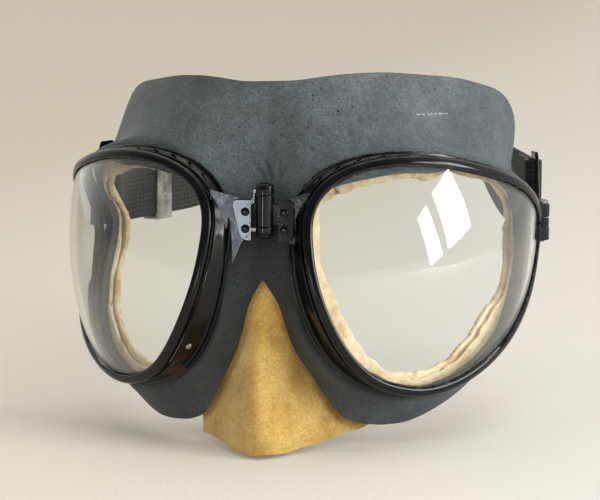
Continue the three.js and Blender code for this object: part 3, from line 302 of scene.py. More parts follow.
def station(turn):
    step = 1e-3
    u, v = outline(turn)
    before = outline(turn - step)
    after = outline(turn + step)
    length = math.hypot(after[0] - before[0], after[1] - before[1])
    out_u = (after[1] - before[1]) / length
    out_v = -(after[0] - before[0]) / length
    rise = sag(u + out_u * step, v + out_v * step) - sag(u - out_u * step, v - out_v * step)
    return Station(turn, u, v, out_u, out_v, math.atan(rise / (2 * step)), sag(u, v))


def even_stations(count):
    turns = [2 * math.pi * i / 4000 for i in range(4001)]
    points = [outline(t) for t in turns]
    along = [0.0]
    for a, b in zip(points, points[1:]):
        along.append(along[-1] + math.hypot(b[0] - a[0], b[1] - a[1]))
    found = []
    k = 0
    for i in range(count):
        want = along[-1] * i / count
        while along[k + 1] < want:
            k += 1
        found.append(station(mixed(turns[k], turns[k + 1], (want - along[k]) / (along[k + 1] - along[k]))))
    return found


def away(s, out, back):
    return Vector((s.u + s.out_u * out, s.depth + back, s.v + s.out_v * out))


def slope(s, out, proud):
    c = math.cos(s.lean)
    n = math.sin(s.lean)
    return away(s, out * c + proud * n, out * n - proud * c)


EYE_TURN = Matrix.Rotation(math.radians(LENS_LEAN), 4, "X")
EYE_TURN = EYE_TURN @ Matrix.Rotation(math.radians(LENS_WRAP), 4, "Z")
EYE_TURN = EYE_TURN @ Matrix.Rotation(math.radians(LENS_ROLL), 4, "Y")
hinge_station = station(math.radians(HINGE_STATION_ANGLE))
LENS_CENTRE_X = NOSE_EDGE_X - (EYE_TURN @ away(hinge_station, 0, 0)).x
EYE = Matrix.Translation((LENS_CENTRE_X, 0, 0)) @ EYE_TURN
EYE_BACK = EYE.inverted()


def on_face(point, side=1):
    p = EYE @ point
    return Vector((side * p.x, p.y, p.z))


def shell_depth(s):
    turn = s.turn - math.radians(SHELL_DEEPEST_ANGLE)
    off = math.atan2(math.sin(turn), math.cos(turn)) / math.radians(SHELL_DEEP_SPREAD)
    return SHELL_DEPTH_LEAST + SHELL_DEPTH_EXTRA * math.exp(-off * off)


def flange_reach(s):
    return FLANGE_REACH_MEAN - FLANGE_REACH_SWING * math.sin(s.turn)


def shell_front(s):
    rear = RIM_OUTER * 0.65 * math.sin(s.lean) + RIM_REAR * math.cos(s.lean)
    out = (RIM_OUTER * math.cos(s.lean) - SHELL_INNER) / math.sin(s.lean)
    flank = RIM_OUTER * math.sin(s.lean) + out * math.cos(s.lean)
    return min(rear, flank) + RIM_CLEARANCE


hinge_seat = on_face(away(hinge_station, flange_reach(hinge_station), shell_depth(hinge_station)))
HINGE_Y = hinge_seat.y - HINGE_IN_FRONT
LEAF_FRONT_Y = HINGE_Y - LEAF_THICKNESS / 2
LEAF_Z = HINGE_Z - LEAF_DROP
LEAF_LOW = LEAF_Z - LEAF_HALF_HEIGHT
LEAF_HIGH = LEAF_Z + LEAF_HALF_HEIGHT
EAR_FRONT_Y = LEAF_FRONT_Y + LEAF_THICKNESS + SEAT_GAP
EAR_BACK_Y = EAR_FRONT_Y + EAR_THICKNESS
EAR_OUTER = LENS_CENTRE_X * 0.26
FACE_FRONT_Y = HINGE_Y + FACE_BEHIND_HINGE
lug_station = station(math.radians(LUG_ANGLE))
lug_axis = on_face(slope(lug_station, LUG_OUT, LUG_PROUD))
LUG_X, LUG_Y, LUG_Z = lug_axis
KNUCKLE_LOW = LUG_Z - KNUCKLE_HEIGHT / 2
KNUCKLE_HIGH = LUG_Z + KNUCKLE_HEIGHT / 2
LUG_LOW = KNUCKLE_LOW - LUG_GAP - LUG_HEIGHT
LUG_HIGH = KNUCKLE_HIGH + LUG_GAP + LUG_HEIGHT
lug_root = on_face(slope(lug_station, RIM_OUTER * 0.4, -RIM_REAR * 0.3))
LUG_RUN = math.hypot(lug_root.x - LUG_X, lug_root.y - LUG_Y)
LUG_TURN = math.atan2(lug_root.y - LUG_Y, lug_root.x - LUG_X)
LUG_WEB_HALF = LUG_RADIUS * 0.8


# Modelling by hand: pieces start from a primitive and are shaped in edit mode.
def deselect():
    bpy.ops.object.select_all(action="DESELECT")


def pick(piece):
    deselect()
    piece.select_set(True)
    bpy.context.view_layer.objects.active = piece


def refine(piece, kind, **settings):
    pick(piece)
    modifier = piece.modifiers.new(kind, kind)
    for name, value in settings.items():
        setattr(modifier, name, value)
    bpy.ops.object.modifier_apply(modifier=modifier.name)
    return piece


def bevel(piece, width, segments=3, **settings):
    return refine(piece, "BEVEL", width=width * MM, segments=segments, limit_method="ANGLE", **settings)


def clean(piece, distance=2e-6):
    pick(piece)
    bpy.ops.object.mode_set(mode="EDIT")
    bpy.ops.mesh.select_all(action="SELECT")
    bpy.ops.mesh.remove_doubles(threshold=distance)
    bpy.ops.mesh.select_all(action="SELECT")
    bpy.ops.mesh.normals_make_consistent(inside=False)
    bpy.ops.object.mode_set(mode="OBJECT")
    return piece


def smooth(piece, angle=35):
    pick(piece)
    bpy.ops.object.shade_smooth_by_angle(angle=math.radians(angle))
    return piece


def even_shading(piece):
    """Large flat faces keep a flat shine beside their rounded edges."""
    return refine(piece, "WEIGHTED_NORMAL", weight=50, keep_sharp=True)


def drawn_out(name, loops, ends="open"):
    """A closed loop of points, extruded loop by loop, with its ends open, capped or joined into a ring."""
    if ends == "ring":
        loops = [*loops, loops[0]]
    deselect()
    bpy.ops.mesh.primitive_circle_add(vertices=len(loops[0]), radius=MM)
    piece = bpy.context.object
    piece.name = name
    piece.data.name = name
    bpy.ops.object.mode_set(mode="EDIT")
    bpy.ops.mesh.select_mode(type="EDGE")
    bpy.ops.mesh.select_all(action="SELECT")
    mesh = bmesh.from_edit_mesh(piece.data)
    held = list(mesh.verts)
    for vert, point in zip(held, loops[0]):
        vert.co = point * MM
    order = [vert.index for vert in held]
    for loop in loops[1:]:
        bpy.ops.mesh.extrude_region_move()
        mesh = bmesh.from_edit_mesh(piece.data)
        mesh.verts.index_update()
        mesh.verts.ensure_lookup_table()
        following = {}
        for old in order:
            vert = mesh.verts[old]
            for edge in vert.link_edges:
                other = edge.other_vert(vert)
                if other.select and not vert.select:
                    following[old] = other
        order = [following[old].index for old in order]
        for index, point in zip(order, loop):
            mesh.verts[index].co = point * MM
    if ends == "capped":
        bpy.ops.mesh.select_all(action="SELECT")
        bpy.ops.mesh.fill_holes(sides=0)
    bpy.ops.object.mode_set(mode="OBJECT")
    return clean(piece)


def spread(name, rows):
    """A grid pulled to rows of points."""
    deselect()
    bpy.ops.mesh.primitive_grid_add(x_subdivisions=len(rows[0]) - 1, y_subdivisions=len(rows) - 1, size=MM)
    piece = bpy.context.object
    piece.name = name
    piece.data.name = name
    points = [point for row in rows for point in row]
    for vert, point in zip(piece.data.vertices, points):
        vert.co = point * MM
    return piece


def block(name, low, high):
    deselect()
    low = Vector(low) * MM
    high = Vector(high) * MM
    bpy.ops.mesh.primitive_cube_add(size=1, location=(low + high) / 2, scale=high - low)
    piece = bpy.context.object
    piece.name = name
    bpy.ops.object.transform_apply(location=True, rotation=True, scale=True)
    return piece


def rod(name, radius, low, high, x, y, vertices=40):
    deselect()
    middle = Vector((x, y, (low + high) / 2)) * MM
    bpy.ops.mesh.primitive_cylinder_add(
        vertices=vertices, radius=radius * MM, depth=(high - low) * MM, location=middle)
    piece = bpy.context.object
    piece.name = name
    bpy.ops.object.transform_apply(location=True, rotation=True, scale=True)
    return piece


def turned(name, profile, at, axis="Z", steps=28):
    """A profile of radius and height, turned on a lathe along an axis through a point."""
    loops = []
    for radius, height in profile:
        loop = []
        for i in range(steps):
            a = 2 * math.pi * i / steps
            c = max(radius, 1e-4) * math.cos(a)
            n = max(radius, 1e-4) * math.sin(a)
            point = (c, n, height) if axis == "Z" else (c, height, n)
            loop.append(Vector(point) + Vector(at))
        loops.append(loop)
    return clean(drawn_out(name, loops), 3e-7)


def plate(name, plan, thickness):
    """A flat plate from a closed plan of points, given its thickness along a vector."""
    deselect()
    bpy.ops.mesh.primitive_circle_add(vertices=len(plan), radius=MM, fill_type="NGON")
    piece = bpy.context.object
    piece.name = name
    piece.data.name = name
    for vert, point in zip(piece.data.vertices, plan):
        vert.co = point * MM
    bpy.ops.object.mode_set(mode="EDIT")
    bpy.ops.mesh.select_all(action="SELECT")
    bpy.ops.mesh.extrude_region_move(TRANSFORM_OT_translate={"value": Vector(thickness) * MM})
    bpy.ops.object.mode_set(mode="OBJECT")
    return clean(piece)


def combine(piece, tool, operation):
    refine(piece, "BOOLEAN", object=tool, operation=operation, solver="EXACT")
    bpy.data.objects.remove(tool)
    return piece


def moved(piece, matrix):
    """The mesh is moved, and the object stays at the origin."""
    piece.data.transform(matrix)
    return piece


def about(x, y, angle):
    """A turn about a vertical line through a point in millimetres."""
    centre = Matrix.Translation((x * MM, y * MM, 0))
    return centre @ Matrix.Rotation(angle, 4, "Z") @ centre.inverted()


def opposite(piece, name):
    """The same piece for the left side, with its own mesh."""
    other = piece.copy()
    other.data = piece.data.copy()
    other.name = name
    other.data.name = name
    bpy.context.collection.objects.link(other)
    other.data.transform(Matrix.Scale(-1, 4, (1, 0, 0)))
    pick(other)
    bpy.ops.object.mode_set(mode="EDIT")
    bpy.ops.mesh.select_all(action="SELECT")
    bpy.ops.mesh.flip_normals()
    bpy.ops.object.mode_set(mode="OBJECT")
    return other


def dressed(piece, material, body=None, stands_for=()):
    piece.data.materials.clear()
    piece.data.materials.append(material)
    if stands_for:
        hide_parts(*stands_for)
    if body:
        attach(piece, body)
    return piece


def pair(right, kind, ending, material, flat=True):
    """A piece made for the right and its copy for the left, each standing for its own node."""
    left = opposite(right, f"{kind}_left_{ending}")
    for piece, word in ((right, "right"), (left, "left")):
        dressed(even_shading(piece) if flat else piece, material, f"{word}_half", [f"{kind}_{word}"])
    return right, left


# Materials.
def linear(code):
    """An sRGB hex colour as linear light."""
    parts = [int(code[i:i + 2], 16) / 255 for i in (1, 3, 5)]
    return [*(c / 12.92 if c <= 0.04045 else ((c + 0.055) / 1.055) ** 2.4 for c in parts), 1.0]


def link(tree, made, inputs):
    """Each input takes a number, an sRGB hex colour, an output, or a node by its first output in use."""
    for socket, value in inputs.items():
        if isinstance(value, bpy.types.Node):
            value = next(output for output in value.outputs if output.enabled)
        if isinstance(value, bpy.types.NodeSocket):
            tree.links.new(value, made.inputs[socket])
        else:
            made.inputs[socket].default_value = linear(value) if isinstance(value, str) else value


def node(tree, kind, inputs=None, stops=(), **settings):
    made = tree.nodes.new("ShaderNode" + kind)
    for name, value in settings.items():
        setattr(made, name, value)
    link(tree, made, inputs or {})
    if stops:
        ramp = made.color_ramp.elements
        while len(ramp) < len(stops):
            ramp.new(0.5)
        for element, (position, colour) in zip(ramp, stops):
            element.position = position
            element.color = linear(colour)
    return made


def new_material(name):
    material = bpy.data.materials.new(name)
    material.use_nodes = True
    tree = material.node_tree
    shader = tree.nodes["Principled BSDF"]
    return material, tree, shader, node(tree, "TexCoord").outputs["Object"]


# Ground and polished plate glass: clear, very smooth, with a film of dust that dulls it in patches.
def lens_glass():
    material, tree, shader, place = new_material("polished_lens_glass")
    # Wiped patches are about 18 mm across, dust grains about 0.5 mm.
    film = node(tree, "TexNoise", {"Vector": place, "Scale": 55.0, "Detail": 5.0, "Roughness": 0.6})
    grain = node(tree, "TexNoise", {"Vector": place, "Scale": 2000.0, "Detail": 2.0})
    haze = node(tree, "Math", {0: film, 1: grain}, operation="MULTIPLY")
    rough = node(tree, "MapRange", {0: haze, 1: 0.3, 2: 0.55, 3: 0.0, 4: 0.035})
    link(tree, shader, {
        "Base Color": "#f4f8f6",
        "Roughness": rough,
        "IOR": 1.52,
        "Transmission Weight": 1.0,
    })
    return material


# Stoved gloss enamel on sheet metal: black and mirror-like, painted a paler grey on top as the sheen of light
# from above, and rusty in one place.
def black_enamel(name, wear_and_sheen, shine):
    material, tree, shader, place = new_material(name)
    # Orange peel is about 2 mm, wear patches about 6 mm, chips about 1 mm.
    peel = node(tree, "TexNoise", {"Vector": place, "Scale": 480.0, "Detail": 2.0})
    wear = node(tree, "TexNoise", {"Vector": place, "Scale": 160.0, "Detail": 6.0, "Roughness": 0.65})
    chips = node(tree, "TexNoise", {"Vector": place, "Scale": 900.0, "Detail": 4.0, "Roughness": 0.7})
    geometry = node(tree, "NewGeometry")
    edges = node(tree, "MapRange", {0: geometry.outputs["Pointiness"], 1: 0.53, 2: 0.62, 3: 0.0, 4: 1.0})
    bare = node(tree, "Math", {0: edges, 1: chips}, operation="MULTIPLY")
    bare = node(tree, "MapRange", {0: bare, 1: 0.48, 2: 0.6, 3: 0.0, 4: wear_and_sheen})
    # Upward faces are painted a paler grey-green: painted sheen of light from above, broken up by the wear
    # noise.
    up = node(tree, "SeparateXYZ", {0: geometry.outputs["Normal"]})
    upper = node(tree, "MapRange", {0: up.outputs[2], 1: 0.3, 2: 0.9, 3: 0.0, 4: 1.0})
    painted_top_sheen = node(tree, "Math", {0: upper, 1: wear}, operation="MULTIPLY")
    painted_top_sheen = node(tree, "MapRange", {0: painted_top_sheen, 1: 0.3, 2: 0.6, 3: 0.0, 4: wear_and_sheen})
    # A rust patch low on the nose side of the left cup.
    spot = node(tree, "VectorMath", {0: place, 1: (-0.0305, -0.0072, -0.0305)}, operation="DISTANCE")
    near = node(tree, "MapRange", {0: spot.outputs["Value"], 1: 0.002, 2: 0.0085, 3: 1.0, 4: 0.0})
    rust = node(tree, "Math", {0: near, 1: wear}, operation="MULTIPLY")
    rust = node(tree, "MapRange", {0: rust, 1: 0.3, 2: 0.48, 3: 0.0, 4: 0.7})
    rust_tone = node(tree, "ValToRGB", {0: chips}, [(0.38, "#150c0b"), (0.62, "#63382e")])
    tone = node(tree, "ValToRGB", {0: wear}, [(0.35, "#030405"), (0.7, "#0a0c0f")])
    painted_sheen_colour = node(tree, "Mix", {0: painted_top_sheen, 6: tone, 7: "#474a44"}, data_type="RGBA")
    chipped = node(tree, "Mix", {0: bare, 6: painted_sheen_colour, 7: "#565651"}, data_type="RGBA")
    colour = node(tree, "Mix", {0: rust, 6: chipped, 7: rust_tone}, data_type="RGBA")
    gloss = node(tree, "MapRange", {0: wear, 1: 0.35, 2: 0.7, 3: shine[0], 4: shine[1]})
    dull = node(tree, "Math", {0: rust, 1: painted_top_sheen}, operation="MAXIMUM")
    rough = node(tree, "Math", {0: dull, 1: 0.4, 2: gloss}, operation="MULTIPLY_ADD")
    bump = node(tree, "Bump", {"Strength": 0.1, "Distance": 0.0003, "Height": peel})
    link(tree, shader, {
        "Base Color": colour,
        "Roughness": rough,
        "Normal": bump,
        "IOR": 1.52,
        "Specular IOR Level": 0.3,
    })
    return material


# Nickel-plated steel: pale grey metal with fine scratches and a little tarnish.
def nickel_steel():
    material, tree, shader, place = new_material("nickel_plated_steel")
    stretched = node(tree, "Mapping", {"Vector": place, "Scale": (1.0, 1.0, 12.0)})
    # Scratches are about 0.3 mm apart, tarnish patches about 5 mm.
    lines = node(tree, "TexNoise", {"Vector": stretched, "Scale": 600.0, "Detail": 3.0})
    tarnish = node(tree, "TexNoise", {"Vector": place, "Scale": 200.0, "Detail": 5.0})
    tone = node(tree, "ValToRGB", {0: tarnish}, [(0.35, "#77726a"), (0.65, "#b9b5ac")])
    rough = node(tree, "MapRange", {0: lines, 1: 0.3, 2: 0.7, 3: 0.22, 4: 0.45})
    bump = node(tree, "Bump", {"Strength": 0.2, "Distance": 0.0001, "Height": lines})
    link(tree, shader, {
        "Base Color": tone,
        "Metallic": 1.0,
        "Roughness": rough,
        "Normal": bump,
    })
    return material


# Aged sheet rubber: slate grey, matt, with a fine grain, pinholes, pale bloom and a few scuffs.
def slate_rubber():
    material, tree, shader, place = new_material("aged_sheet_rubber")
    # Bloom patches are about 25 mm, blotches about 4 mm, grain about 0.7 mm, pinholes about 3 mm apart.
    bloom = node(tree, "TexNoise", {"Vector": place, "Scale": 40.0, "Detail": 4.0, "Roughness": 0.55})
    blotch = node(tree, "TexNoise", {"Vector": place, "Scale": 260.0, "Detail": 5.0, "Roughness": 0.6})
    grain = node(tree, "TexNoise", {"Vector": place, "Scale": 1400.0, "Detail": 3.0, "Roughness": 0.65})
    holes = node(tree, "TexVoronoi", {"Vector": place, "Scale": 330.0}, feature="F1")
    few = node(tree, "TexNoise", {"Vector": place, "Scale": 45.0, "Detail": 2.0})
    deep = node(tree, "MapRange", {0: holes.outputs["Distance"], 1: 0.06, 2: 0.16, 3: 1.0, 4: 0.0})
    where = node(tree, "MapRange", {0: few, 1: 0.5, 2: 0.62, 3: 0.0, 4: 1.0})
    pits = node(tree, "Math", {0: deep, 1: where}, operation="MULTIPLY")
    flecks = node(tree, "TexVoronoi", {"Vector": place, "Scale": 520.0, "Randomness": 1.0}, feature="F1")
    dots = node(tree, "MapRange", {0: flecks.outputs["Distance"], 1: 0.05, 2: 0.14, 3: 0.55, 4: 0.0})
    dots = node(tree, "Math", {0: dots, 1: blotch}, operation="MULTIPLY")
    tone = node(tree, "ValToRGB", {0: bloom}, [(0.3, "#40474a"), (0.7, "#565e61")])
    mottle = node(tree, "MapRange", {0: blotch, 1: 0.3, 2: 0.7, 3: 0.78, 4: 1.2})
    speckle = node(tree, "MapRange", {0: grain, 1: 0.3, 2: 0.7, 3: 0.62, 4: 1.4})
    shade = node(tree, "Math", {0: mottle, 1: speckle}, operation="MULTIPLY")
    # The rubber is darker low down and most of all beside the nose: partly handling grime, partly painted
    # shade under the cups and round the nose.
    parts = node(tree, "SeparateXYZ", {0: place})
    low_grime_and_shade = node(tree, "MapRange", {0: parts.outputs[2], 1: 0.004, 2: 0.04, 3: 0.66, 4: 1.0},
                   interpolation_type="SMOOTHSTEP")
    shade = node(tree, "Math", {0: shade, 1: low_grime_and_shade}, operation="MULTIPLY")
    nose = node(tree, "VectorMath", {0: place, 1: (0.001, -0.005, 0.0)}, operation="DISTANCE")
    nose = node(tree, "MapRange", {0: nose.outputs["Value"], 1: 0.014, 2: 0.044, 3: 0.42, 4: 1.0},
                interpolation_type="SMOOTHSTEP")
    shade = node(tree, "Math", {0: shade, 1: nose}, operation="MULTIPLY")
    colour = node(tree, "VectorMath", {0: tone, "Scale": shade}, operation="SCALE")
    dusty = node(tree, "Mix", {0: dots, 6: colour, 7: "#8b918f"}, data_type="RGBA")
    # Pinholes are painted near black: painted shade inside the holes.
    pitted = node(tree, "Mix", {0: pits, 6: dusty, 7: "#15171a"}, data_type="RGBA")
    # Two pale scuffs on the right of the brow.
    tilt = node(tree, "Math", {0: parts, 1: 0.06, 2: parts.outputs[2]}, operation="MULTIPLY_ADD")
    level = node(tree, "Math", {0: tilt, 1: 0.0546, 2: 0.00022}, operation="COMPARE")
    run = node(tree, "Math", {0: parts, 1: 0.0489, 2: 0.0041}, operation="COMPARE")
    scuff = node(tree, "Math", {0: level, 1: run}, operation="MULTIPLY")
    ragged = node(tree, "MapRange", {0: grain, 1: 0.42, 2: 0.6, 3: 0.0, 4: 0.75})
    scuff = node(tree, "Math", {0: scuff, 1: ragged}, operation="MULTIPLY")
    marked = node(tree, "Mix", {0: scuff, 6: pitted, 7: "#a9b4b6"}, data_type="RGBA")
    rough = node(tree, "MapRange", {0: blotch, 1: 0.3, 2: 0.7, 3: 0.62, 4: 0.82})
    height = node(tree, "Math", {0: pits, 1: -3.0, 2: grain}, operation="MULTIPLY_ADD")
    bump = node(tree, "Bump", {"Strength": 0.45, "Distance": 0.00025, "Height": height})
    link(tree, shader, {
        "Base Color": marked,
        "Roughness": rough,
        "Normal": bump,
        "IOR": 1.5,
        "Specular IOR Level": 0.4,
        "Sheen Weight": 0.08,
        "Sheen Roughness": 0.5,
    })
    return material


# Pressed cream felt: soft, pale, fibrous, yellowed in patches.
def cream_felt():
    material, tree, shader, place = new_material("pressed_cream_felt")
    # Stains are about 8 mm, fibres about 0.6 mm, drawn that coarse so that they show.
    stain = node(tree, "TexNoise", {"Vector": place, "Scale": 120.0, "Detail": 5.0, "Roughness": 0.6})
    fibre = node(tree, "TexNoise", {"Vector": place, "Scale": 1700.0, "Detail": 4.0, "Distortion": 1.5})
    lumps = node(tree, "TexNoise", {"Vector": place, "Scale": 420.0, "Detail": 3.0})
    tone = node(tree, "ValToRGB", {0: stain},
                [(0.3, "#b58f60"), (0.5, "#dcc299"), (0.75, "#e8d5b0")])
    shade = node(tree, "MapRange", {0: fibre, 1: 0.3, 2: 0.7, 3: 0.74, 4: 1.14})
    colour = node(tree, "VectorMath", {0: tone, "Scale": shade}, operation="SCALE")
    height = node(tree, "Math", {0: lumps, 1: 1.5, 2: fibre}, operation="MULTIPLY_ADD")
    bump = node(tree, "Bump", {"Strength": 0.6, "Distance": 0.0003, "Height": height})
    rough = node(tree, "MapRange", {0: fibre, 1: 0.3, 2: 0.7, 3: 0.8, 4: 0.98})
    link(tree, shader, {
        "Base Color": colour,
        "Roughness": rough,
        "Normal": bump,
        "Specular IOR Level": 0.2,
        "Sheen Weight": 0.2,
        "Sheen Roughness": 0.6,
    })
    return material


# Oil-tanned chamois: ochre suede with a nap, darker handled patches and fine creases.
def ochre_chamois():
    material, tree, shader, place = new_material("oil_tanned_chamois")
    # Patches are about 15 mm, nap about 0.8 mm, creases about 5 mm apart.
    patch = node(tree, "TexNoise", {"Vector": place, "Scale": 65.0, "Detail": 5.0, "Roughness": 0.6})
    nap = node(tree, "TexNoise", {"Vector": place, "Scale": 1250.0, "Detail": 4.0, "Roughness": 0.7})
    crease = node(tree, "TexNoise", {"Vector": place, "Scale": 210.0, "Detail": 4.0, "Distortion": 2.0})
    tone = node(tree, "ValToRGB", {0: patch},
                [(0.3, "#a17c3c"), (0.5, "#c3a057"), (0.72, "#d8b977")])
    shade = node(tree, "MapRange", {0: nap, 1: 0.3, 2: 0.7, 3: 0.68, 4: 1.22})
    # The top is painted paler: painted light from above.
    level = node(tree, "SeparateXYZ", {0: place})
    painted_top_light = node(tree, "MapRange", {0: level.outputs[2], 1: -0.036, 2: -0.012, 3: 0.95, 4: 1.4})
    shade = node(tree, "Math", {0: shade, 1: painted_top_light}, operation="MULTIPLY")
    colour = node(tree, "VectorMath", {0: tone, "Scale": shade}, operation="SCALE")
    height = node(tree, "Math", {0: crease, 1: 1.2, 2: nap}, operation="MULTIPLY_ADD")
    bump = node(tree, "Bump", {"Strength": 0.55, "Distance": 0.0003, "Height": height})
    rough = node(tree, "MapRange", {0: nap, 1: 0.3, 2: 0.7, 3: 0.78, 4: 0.97})
    link(tree, shader, {
        "Base Color": colour,
        "Roughness": rough,
        "Normal": bump,
        "Specular IOR Level": 0.2,
        "Sheen Weight": 0.25,
        "Sheen Roughness": 0.5,
    })
    return material


# Woven elastic webbing: black, ribbed across by its rubber cores, with a fine weave and faded ribs.
def black_webbing():
    material, tree, shader, place = new_material("woven_elastic_webbing")
    along = node(tree, "Attribute", attribute_name="along_mm")
    across = node(tree, "Attribute", attribute_name="across_mm")
    # Ribs run along the band every 1.6 mm; the weft crosses every 0.9 mm, drawn that coarse so that it shows.
    rib = node(tree, "Math", {0: across.outputs["Fac"], 1: 2 * math.pi / 1.6}, operation="MULTIPLY")
    rib = node(tree, "Math", {0: rib}, operation="COSINE")
    weft = node(tree, "Math", {0: along.outputs["Fac"], 1: 2 * math.pi / 0.9}, operation="MULTIPLY")
    weft = node(tree, "Math", {0: weft}, operation="COSINE")
    weave = node(tree, "Math", {0: weft, 1: 0.5, 2: rib}, operation="MULTIPLY_ADD")
    fuzz = node(tree, "TexNoise", {"Vector": place, "Scale": 1500.0, "Detail": 3.0})
    faded = node(tree, "TexNoise", {"Vector": place, "Scale": 90.0, "Detail": 4.0})
    # The crests of the weave are painted lighter and its hollows darker: painted light and shade, broken up
    # by the fading.
    top = node(tree, "MapRange", {0: weave, 1: -1.5, 2: 1.5, 3: 0.0, 4: 1.0})
    lit = node(tree, "Math", {0: top, 1: faded}, operation="MULTIPLY")
    tone = node(tree, "ValToRGB", {0: lit}, [(0.1, "#0b0b0c"), (0.6, "#2b2a29")])
    height = node(tree, "Math", {0: fuzz, 1: 0.8, 2: weave}, operation="MULTIPLY_ADD")
    bump = node(tree, "Bump", {"Strength": 0.7, "Distance": 0.0002, "Height": height})
    rough = node(tree, "MapRange", {0: fuzz, 1: 0.3, 2: 0.7, 3: 0.75, 4: 0.95})
    link(tree, shader, {
        "Base Color": tone,
        "Roughness": rough,
        "Normal": bump,
        "Specular IOR Level": 0.25,
        "Sheen Weight": 0.15,
    })
    return material


# Waxed thread: near black, twisted, a little shiny.
def waxed_thread():
    material, tree, shader, place = new_material("waxed_linen_thread")
    twist = node(tree, "TexNoise", {"Vector": place, "Scale": 2500.0, "Detail": 2.0})
    tone = node(tree, "ValToRGB", {0: twist}, [(0.3, "#2b2824"), (0.7, "#514b43")])
    bump = node(tree, "Bump", {"Strength": 0.5, "Distance": 0.0001, "Height": twist})
    link(tree, shader, {"Base Color": tone, "Roughness": 0.6, "Normal": bump})
    return material


glass = lens_glass()
enamel = black_enamel("black_stove_enamel", 0.8, (0.09, 0.26))
hinge_enamel = black_enamel("black_stove_enamel_hinge", 0.0, (0.05, 0.09))
nickel = nickel_steel()
rubber = slate_rubber()
felt = cream_felt()
chamois = ochre_chamois()
webbing = black_webbing()
thread = waxed_thread()

HALVES = ((1, "right", "right_half"), (-1, "left", "left_half"))
ring_stations = even_stations(RING_POINTS)


# Lenses: drawn out from the middle of the front, over the edge, to the middle of the back.
def lens_piece():
    shares = [0.0, 0.02, 0.1, 0.2, 0.3, 0.4, 0.5, 0.6, 0.7, 0.8, 0.88, 0.95, 0.98, 0.99, 0.995]
    loops = []
    for inset, order in ((0.0, shares), (LENS_THICKNESS, shares[::-1])):
        sides = []
        for share in order:
            loop = []
            for s in ring_stations:
                edge = slope(s, -LENS_EDGE_INSET, -inset)
                u = edge.x * share
                v = edge.z * share
                loop.append(on_face(Vector((u, sag(u, v, inset), v))))
            sides.append(loop)
        loops += sides
        if inset == 0.0:
            for back in (-LENS_EDGE_ROUND, -LENS_THICKNESS + LENS_EDGE_ROUND):
                loops.append([on_face(slope(s, -LENS_EDGE_INSET, back)) for s in ring_stations])
    return smooth(drawn_out("lens_right_glass", loops), 25)


for lens in pair(lens_piece(), "lens", "glass", glass):
    lens.visible_shadow = False


def lug_web(low, high, gap):
    """The web that joins a lug to the rim or, with a gap, the room that it needs."""
    half = LUG_WEB_HALF + gap
    web = block("web", (LUG_X, LUG_Y - half, low - gap), (LUG_X + (LUG_RUN + gap), LUG_Y + half, high + gap))
    return moved(web, about(LUG_X, LUG_Y, LUG_TURN))


def screw_bore(low, high):
    return rod("bore", SCREW_RADIUS + SCREW_CLEARANCE, low - 1, high + 1, LUG_X, LUG_Y)


# Rims: a rolled channel round the lens edge, split at the temple, with two bored lugs.
def rim_piece():
    profile = [
        (-RIM_LIP, RIM_CLEARANCE), (-RIM_LIP * 1.02, 0.55), (-RIM_LIP * 0.9, 0.85), (-RIM_LIP * 0.62, 1.06),
        (-RIM_LIP * 0.3, 1.17), (0, RIM_CROWN), (RIM_OUTER * 0.35, 1.14), (RIM_OUTER * 0.66, 0.94),
        (RIM_OUTER * 0.88, 0.6), (RIM_OUTER, 0.1), (RIM_OUTER, -1.2), (RIM_OUTER, -2.4),
        (RIM_OUTER * 0.92, -2.95), (RIM_OUTER * 0.65, -RIM_REAR), (-RIM_LIP * 0.65, -RIM_REAR),
        (-RIM_LIP * 0.8, -RIM_REAR + 0.15),
        (-RIM_LIP * 0.8, -RIM_GROOVE), (0, -RIM_GROOVE), (0, RIM_CLEARANCE),
    ]
    loops = [[on_face(slope(s, out, proud)) for s in ring_stations] for out, proud in profile]
    rim = drawn_out("lens_rim_right_channel", loops, "ring")
    for low, high in ((LUG_LOW, KNUCKLE_LOW - LUG_GAP), (KNUCKLE_HIGH + LUG_GAP, LUG_HIGH)):
        lug = rod("lug", LUG_RADIUS, low, high, LUG_X, LUG_Y)
        bevel(lug, 0.35)
        combine(lug, lug_web(low + 0.1, high - 0.1, 0), "UNION")
        combine(rim, lug, "UNION")
    groove = []
    for out, proud in ((0.0, RIM_CLEARANCE), (-9, RIM_CLEARANCE), (-9, -RIM_GROOVE), (0.0, -RIM_GROOVE)):
        groove.append([on_face(slope(s, out, proud)) for s in ring_stations])
    combine(rim, drawn_out("groove", groove, "ring"), "DIFFERENCE")
    half = RIM_SPLIT / 2
    split = block("split", (LUG_X - 9, LUG_Y - 9, LUG_Z - half), (LUG_X + 6, LUG_Y + 7, LUG_Z + half))
    combine(rim, split, "DIFFERENCE")
    room = rod("room", LUG_RADIUS + LUG_GAP, KNUCKLE_LOW - LUG_GAP, KNUCKLE_HIGH + LUG_GAP, LUG_X, LUG_Y)
    combine(rim, room, "DIFFERENCE")
    combine(rim, screw_bore(LUG_LOW, LUG_HIGH), "DIFFERENCE")
    return smooth(rim)


pair(rim_piece(), "lens_rim", "channel", enamel)


